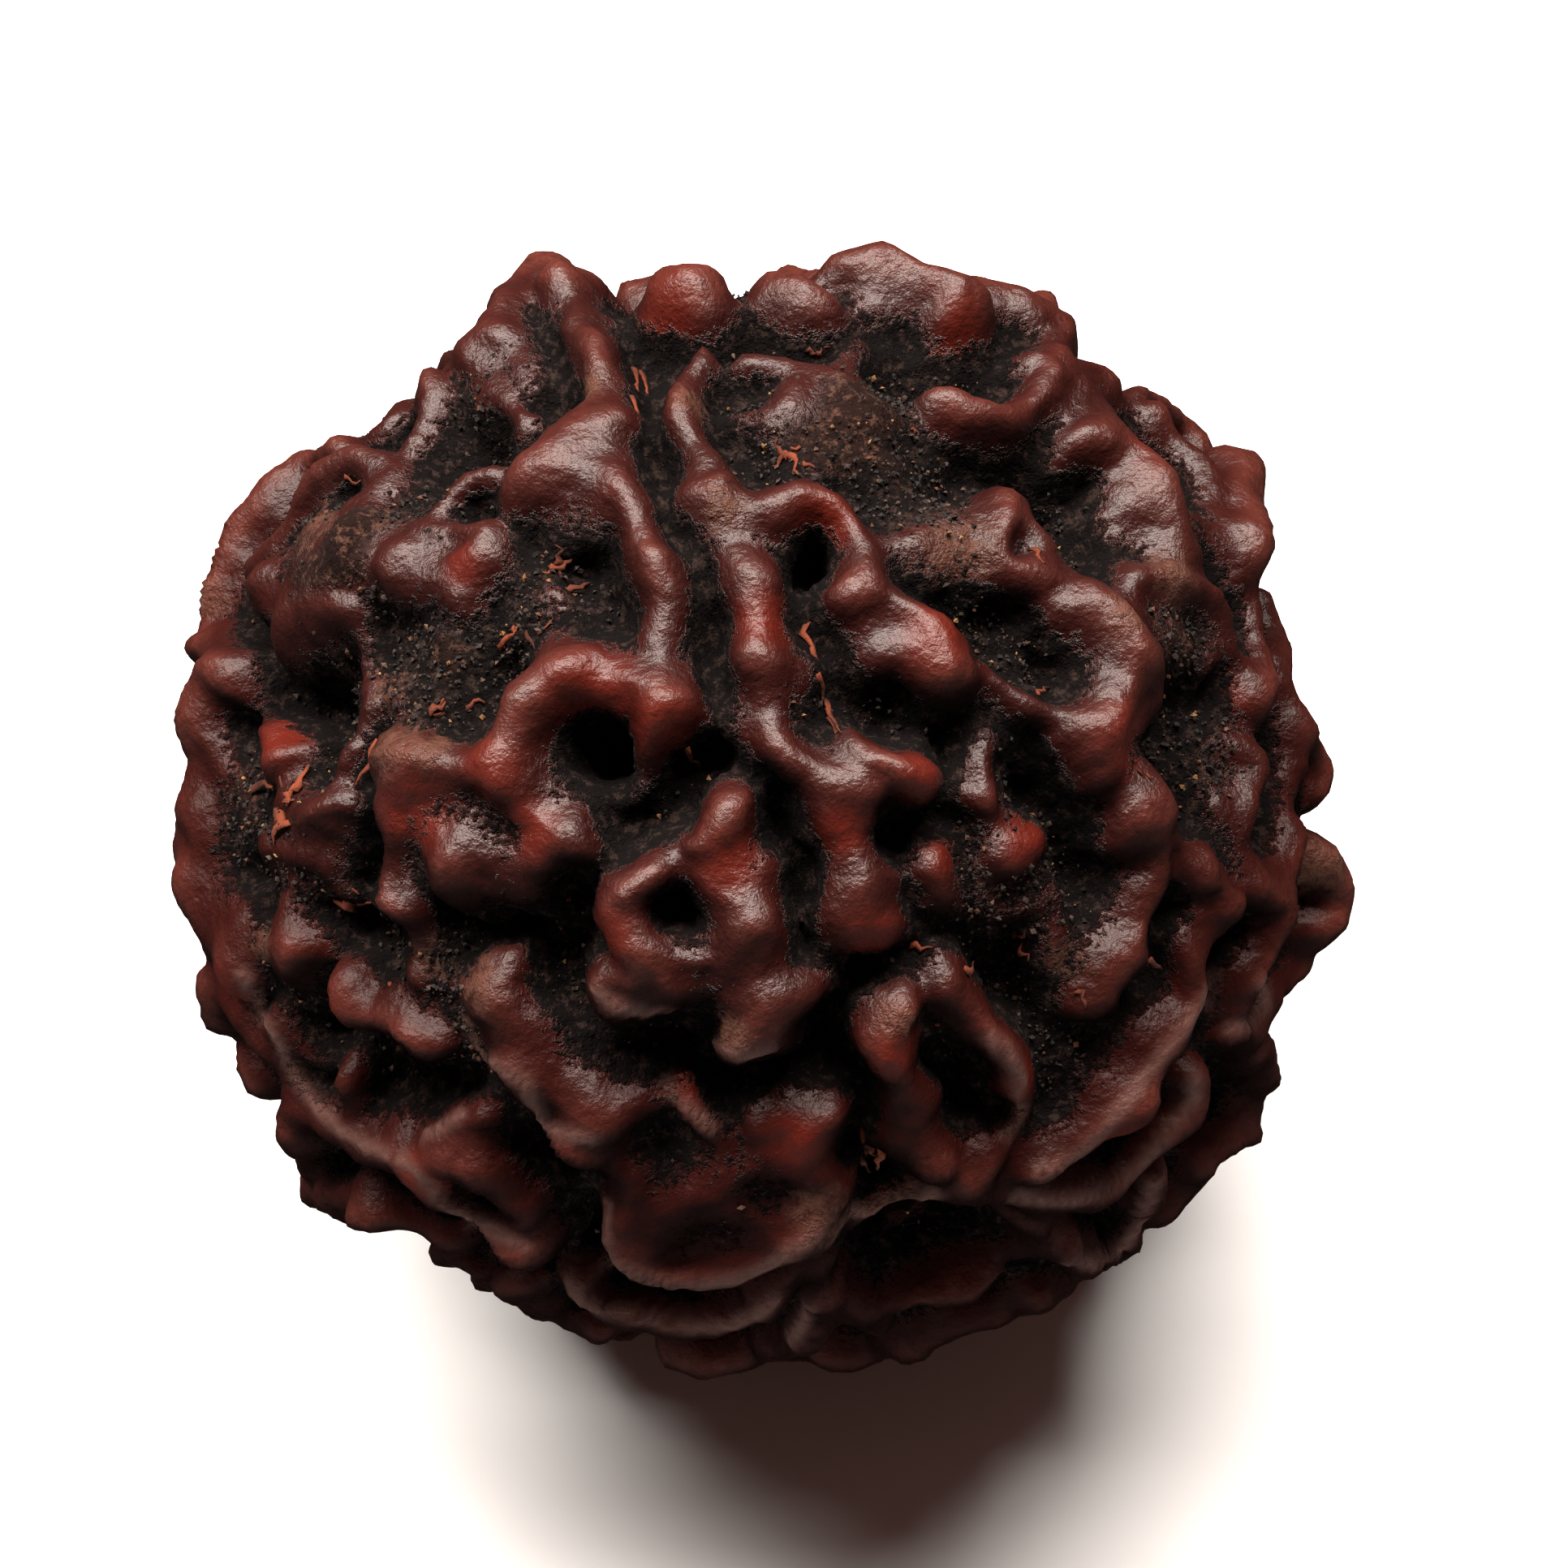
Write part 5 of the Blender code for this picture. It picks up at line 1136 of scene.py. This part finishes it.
# Each shred on the drawing: both ends in millimetres and half its width
SHREDS = [
    ((-3.75, 4.55), (-3.7, 4.95), 0.06), ((-3.75, 4.55), (-4.0, 4.8), 0.05),
    ((-3.75, 4.55), (-3.45, 4.7), 0.05), ((-3.75, 4.55), (-3.6, 4.3), 0.06),
    ((-3.75, 4.55), (-4.0, 4.4), 0.04), ((-3.55, 4.1), (-3.2, 4.25), 0.05),
    ((-4.85, 3.1), (-4.45, 3.4), 0.05), ((-4.6, 3.4), (-4.4, 3.15), 0.04),
    ((-4.35, 3.25), (-4.15, 3.0), 0.05), ((-4.1, 3.3), (-3.8, 3.6), 0.03),
    ((-6.1, 1.85), (-5.8, 2.0), 0.07), ((-5.95, 1.75), (-5.85, 2.1), 0.05),
    ((-5.45, 1.95), (-5.1, 2.05), 0.06), ((0.45, 6.6), (0.75, 6.8), 0.06),
    ((0.45, 6.6), (0.3, 6.9), 0.05), ((0.45, 6.6), (0.25, 6.4), 0.05), ((0.5, 6.6), (0.8, 6.3), 0.06),
    ((0.8, 6.45), (1.05, 6.4), 0.04), ((-9.4, 0.45), (-9.0, 0.5), 0.06),
    ((-8.75, 0.15), (-8.6, 0.5), 0.1), ((-8.65, 0.35), (-8.35, 0.85), 0.07),
    ((-8.7, 0.2), (-8.9, 0.6), 0.05), ((-8.8, -0.1), (-9.15, -1.05), 0.13),
    ((-8.75, -0.15), (-9.0, -0.6), 0.09), ((-7.75, -1.75), (-7.5, -1.35), 0.12),
    ((-7.6, -1.8), (-7.3, -1.6), 0.08), ((-7.1, 1.35), (-7.5, 0.35), 0.06),
    ((1.95, -6.0), (2.05, -6.5), 0.08), ((2.05, -6.2), (2.3, -6.6), 0.07),
    ((2.3, -6.3), (2.15, -6.75), 0.06), ((1.85, -6.4), (2.05, -6.7), 0.05),
    ((2.8, -2.45), (3.2, -2.55), 0.05), ((3.8, -2.95), (4.1, -2.8), 0.06),
    ((4.8, -2.5), (5.0, -2.75), 0.06), ((4.7, -2.3), (4.95, -2.2), 0.05),
    ((5.1, 4.9), (5.3, 4.6), 0.05), ((5.1, 2.2), (5.35, 2.3), 0.04), ((0.9, 8.6), (1.1, 8.4), 0.05),
    ((1.05, 8.5), (1.3, 8.6), 0.04), ((-2.35, 8.2), (-2.2, 7.5), 0.06),
    ((-2.2, 8.1), (-1.95, 7.2), 0.05), ((-2.4, 7.7), (-2.15, 7.0), 0.05),
    ((0.82, 3.5), (1.0, 2.9), 0.05), ((0.95, 3.1), (1.15, 2.4), 0.06), ((1.1, 2.6), (1.2, 2.0), 0.05),
    ((1.2, 2.1), (1.4, 1.5), 0.06), ((1.35, 1.7), (1.5, 1.15), 0.05), ((1.25, 1.9), (1.6, 1.35), 0.04),
    ((-1.35, 1.2), (-1.1, 0.8), 0.04), ((-6.9, -3.2), (-6.6, -3.4), 0.04),
    ((7.2, 0.65), (7.6, 0.75), 0.05), ((7.0, 0.75), (7.4, 1.0), 0.04),
    ((7.2, -2.75), (7.5, -3.0), 0.05), ((5.9, -3.3), (6.1, -3.6), 0.05),
    ((3.3, -3.9), (3.5, -4.3), 0.05), ((-7.7, 6.2), (-7.4, 6.1), 0.04), ((2.8, 7.1), (2.95, 7.0), 0.04),
]
SHRED_LONGEST = 0.9
SHRED_WIDENING = 1.4

# Rings along a shred, width of its tip, how it is held off the ground and buckles, and its torn widths
SHRED_RINGS = 5
SHRED_TIP = 0.3
SHRED_LIFT = 0.3
SHRED_BUCKLE = 0.4
SHRED_TORN = (0.5, 1.5)

# Shreds in the hidden hollows: how many, how low the hollows lie and how far off the floor, and the
# shreds' lengths and half widths
SHREDS_BEHIND = 90
BEHIND_HOLLOW = -0.35
BEHIND_CLEAR_OF_FLOOR = 0.5
BEHIND_LENGTHS = (0.3, 0.7)
BEHIND_HALVES = (0.035, 0.08)


def add_shred(shape, draw, start, end, facing, half_width):
    """A flat torn shred from start to end, uneven and kinked, lying on the surface."""
    along = end - start
    side = along.cross(facing).normalized() * half_width * MM
    rise = facing.normalized() * half_width * MM
    kinks = [draw.uniform(-1.0, 1.0) for _ in range(SHRED_RINGS)]
    first = len(shape.verts)
    made = bmesh.ops.create_cone(
        shape, cap_ends=True, segments=6, radius1=1.0, radius2=SHRED_TIP, depth=1.0)
    edges = {edge for vertex in made["verts"] for edge in vertex.link_edges}
    long_edges = [edge for edge in edges if abs(edge.verts[0].co.z - edge.verts[1].co.z) > 0.5]
    bmesh.ops.subdivide_edges(shape, edges=long_edges, cuts=SHRED_RINGS - 2)
    shape.verts.ensure_lookup_table()
    for vertex in shape.verts[first:]:
        across, up, share = vertex.co.x, vertex.co.y, vertex.co.z + 0.5
        kink = kinks[round((SHRED_RINGS - 1) * share)]
        base = start + share * along + kink * side + (SHRED_LIFT + SHRED_BUCKLE * kink) * rise
        torn = draw.uniform(*SHRED_TORN)
        vertex.co = base + torn * across * side + 0.5 * torn * up * rise


shape = bmesh.new()
draw = random.Random(64)
for (x0, y0), (x1, y1), half_width in SHREDS:
    start, facing = seen_spot(stone_tree, x0, y0)
    start, end = start * MM, seen_spot(stone_tree, x1, y1)[0] * MM
    reach = min((end - start).length, SHRED_LONGEST * MM)
    end = start + reach * (end - start).normalized()
    add_shred(shape, draw, start, end, facing, SHRED_WIDENING * half_width)
hidden = ways @ drawing_axes()[2] < HIDDEN_FROM
hollow_points = np.nonzero((stands < BEHIND_HOLLOW) & hidden)[0]
for _ in range(SHREDS_BEHIND):
    index = int(hollow_points[draw.randrange(len(hollow_points))])
    start = Vector((points[index] + BEAD_CENTRE) * MM)
    facing = Vector(normals[index])
    sideways = facing.cross(Vector([draw.gauss(0, 1) for _ in range(3)])).normalized()
    end = start + sideways * draw.uniform(*BEHIND_LENGTHS) * MM
    if min(start.z, end.z) > BEHIND_CLEAR_OF_FLOOR * MM:
        add_shred(shape, draw, start, end, facing, draw.uniform(*BEHIND_HALVES))
bmesh.ops.recalc_face_normals(shape, faces=shape.faces[:])
shred_mesh = mesh_of(shape, "pulp_shreds")
shred_mesh.shade_smooth()
shreds = in_scene("pulp_shreds", shred_mesh)


def dried_pulp():
    """Dried fruit pulp: dull, fibrous and orange-brown, in uneven shades."""
    material, tree, shader = new_material("dried_fruit_pulp")
    place = add_node(tree, "ShaderNodeTexCoord").outputs["Object"]
    shades = add_node(tree, "ShaderNodeTexNoise", {"Vector": place, "Scale": 1 / (0.5 * MM)}).outputs["Fac"]
    fibres = add_node(tree, "ShaderNodeTexNoise", {
        "Vector": place, "Scale": 1 / (0.08 * MM), "Detail": 3.0}).outputs["Fac"]
    colour = add_node(tree, "ShaderNodeValToRGB", {"Fac": shades}).outputs["Color"]
    ramp = colour.node.color_ramp
    ramp.elements[0].position = 0.35
    ramp.elements[0].color = linear("#2a0f08")
    ramp.elements[1].position = 0.65
    ramp.elements[1].color = linear("#622b15")
    frayed = add_node(tree, "ShaderNodeBump", {"Height": fibres, "Strength": 1.0, "Distance": 0.03 * MM})
    tree.links.new(colour, shader.inputs["Base Color"])
    tree.links.new(frayed.outputs[0], shader.inputs["Normal"])
    shader.inputs["Roughness"].default_value = 0.85
    shader.inputs["Specular IOR Level"].default_value = 0.25
    return material


shred_mesh.materials.append(dried_pulp())
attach(shreds, "root")

# The grit
# Crumbs of dry pulp, soil and soot that stick in the hollows of an uncleaned stone, about a tenth of a
# millimetre across. One crumb is made and repeated, each with its own size, turn and tint.

# How many, their least and greatest radius, by what shares a crumb's three sides differ, how far they
# stand out as a share of their size, how far they are strewn and how far off the floor they start
GRIT_CRUMBS = 20000
GRIT_SIZES = (0.02, 0.065)
GRIT_SIDES = (0.6, 1.4)
GRIT_STANDOFF = 0.3
GRIT_SCATTER = 0.03
GRIT_CLEAR_OF_FLOOR = 0.4

draw = np.random.default_rng(91)
likely = eased(-stands, -0.5, 0.1) * eased(ground_share, 0.02, 0.4)
likely[placed[:, 2] < GRIT_CLEAR_OF_FLOOR * MM] = 0.0
chosen = draw.choice(len(points), GRIT_CRUMBS, p=likely / likely.sum())
shape = bmesh.new()
bmesh.ops.create_uvsphere(shape, u_segments=4, v_segments=2, radius=1.0)
crumb_mesh = mesh_of(shape, "crumb")
crumb = np.empty(3 * len(crumb_mesh.vertices))
crumb_mesh.vertices.foreach_get("co", crumb)
crumb = crumb.reshape(-1, 3)
crumb_faces = np.array([face.vertices[:] for face in crumb_mesh.polygons])
sizes = GRIT_SIZES[0] + (GRIT_SIZES[1] - GRIT_SIZES[0]) * draw.random(GRIT_CRUMBS)[:, None] ** 2
sizes = sizes * draw.uniform(*GRIT_SIDES, (GRIT_CRUMBS, 3))
turns = np.linalg.qr(draw.normal(size=(GRIT_CRUMBS, 3, 3)))[0]
turns *= np.linalg.det(turns)[:, None, None]
spots = points[chosen] + GRIT_STANDOFF * normals[chosen] * sizes.mean(axis=1)[:, None]
spots += draw.normal(size=(GRIT_CRUMBS, 3)) * GRIT_SCATTER
crumbs = np.einsum("nvi,nij->nvj", crumb[None] * sizes[:, None, :], turns) + spots[:, None, :]
crumb_points = (crumbs.reshape(-1, 3) + BEAD_CENTRE) * MM
crumb_faces = (crumb_faces[None] + len(crumb) * np.arange(GRIT_CRUMBS)[:, None, None]).reshape(-1, 3)
grit_mesh = bpy.data.meshes.new("grit")
grit_mesh.from_pydata(crumb_points.tolist(), [], crumb_faces.tolist())
keep_on_points(grit_mesh, "tint", np.repeat(draw.uniform(0.0, 1.0, GRIT_CRUMBS), len(crumb)))
grit = in_scene("grit", grit_mesh)


def grit_and_dust():
    """Matt crumbs of soil and dry pulp, from black through grey-brown to a few straw-yellow ones."""
    material, tree, shader = new_material("soil_and_pulp_grit")
    tint = add_node(tree, "ShaderNodeAttribute", attribute_name="tint").outputs["Fac"]
    colour = add_node(tree, "ShaderNodeValToRGB", {"Fac": tint}).outputs["Color"]
    ramp = colour.node.color_ramp
    ramp.elements[0].color = linear("#080606")
    ramp.elements[1].color = linear("#7a5c38")
    for position, shade in ((0.45, "#150f0d"), (0.75, "#261c18"), (0.88, "#3a2e28"), (0.95, "#4a2a18")):
        ramp.elements.new(position).color = linear(shade)
    place = add_node(tree, "ShaderNodeTexCoord").outputs["Object"]
    dints = add_node(tree, "ShaderNodeTexNoise", {"Vector": place, "Scale": 1 / (0.05 * MM)}).outputs["Fac"]
    uneven = add_node(tree, "ShaderNodeBump", {"Height": dints, "Strength": 1.0, "Distance": 0.02 * MM})
    tree.links.new(colour, shader.inputs["Base Color"])
    tree.links.new(uneven.outputs[0], shader.inputs["Normal"])
    shader.inputs["Roughness"].default_value = 0.8
    shader.inputs["Specular IOR Level"].default_value = 0.3
    return material


grit_mesh.materials.append(grit_and_dust())
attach(grit, "root")

# The camera
# A close-up lens eleven centimetres from the bead, looking down from fifty degrees above the floor.
# The bead is 22 mm wide and fills 1462 of the picture's 1932 pixels.

BEAD_WIDTH = 22.0
BEAD_PIXELS = 1462
PICTURE_PIXELS = 1932
FRAME_WIDTH = PICTURE_PIXELS * BEAD_WIDTH / BEAD_PIXELS
CENTRE_IN_FRAME = (-0.42, -0.48)

right, up, toward = drawing_axes()
eye = BEAD_CENTRE + EYE_DISTANCE * toward - CENTRE_IN_FRAME[0] * right - CENTRE_IN_FRAME[1] * up
lens = bpy.data.cameras.new("close_up_lens")
lens.sensor_width = 36.0
lens.lens = lens.sensor_width * EYE_DISTANCE / FRAME_WIDTH
lens.clip_start = 0.001

camera = in_scene("camera", lens)
camera.location = Vector(eye * MM)
camera.rotation_euler = Vector(-toward).to_track_quat("-Z", "Y").to_euler()
bpy.context.scene.camera = camera
bpy.context.scene.view_settings.view_transform = "Standard"

# The floor and the light
# A plain sheet of matt white paper under one long soft lamp, which hangs level above the bead, a
# little to the left and behind it. A faint warm light fills the room.

FLOOR_HALF = 600.0
LAMP_PLACE = (-52.0, 32.0, 165.0)
LAMP_WIDTH = 262.0
LAMP_DEPTH = 60.0
LAMP_WATTS = 1.75
LAMP_COLOUR = (1.0, 0.89, 0.81)
ROOM_STRENGTH = 0.085

shape = bmesh.new()
bmesh.ops.create_grid(shape, x_segments=1, y_segments=1, size=FLOOR_HALF * MM)
floor_mesh = mesh_of(shape, "floor")
floor = in_scene("floor", floor_mesh)
paper, _, shader = new_material("matt_white_paper")
shader.inputs["Base Color"].default_value = linear("#eef3f6")
shader.inputs["Roughness"].default_value = 0.9
floor_mesh.materials.append(paper)
floor.visible_glossy = False

lamp = bpy.data.lights.new("overhead_lamp", "AREA")
lamp.shape = "RECTANGLE"
lamp.size = LAMP_WIDTH * MM
lamp.size_y = LAMP_DEPTH * MM
lamp.energy = LAMP_WATTS
lamp.color = LAMP_COLOUR
in_scene("overhead_lamp", lamp).location = Vector(LAMP_PLACE) * MM

sky = bpy.data.worlds.new("room_light")
sky.use_nodes = True
glow = sky.node_tree.nodes["Background"]
glow.inputs["Color"].default_value = linear("#ffb8a6")
glow.inputs["Strength"].default_value = ROOM_STRENGTH
bpy.context.scene.world = sky
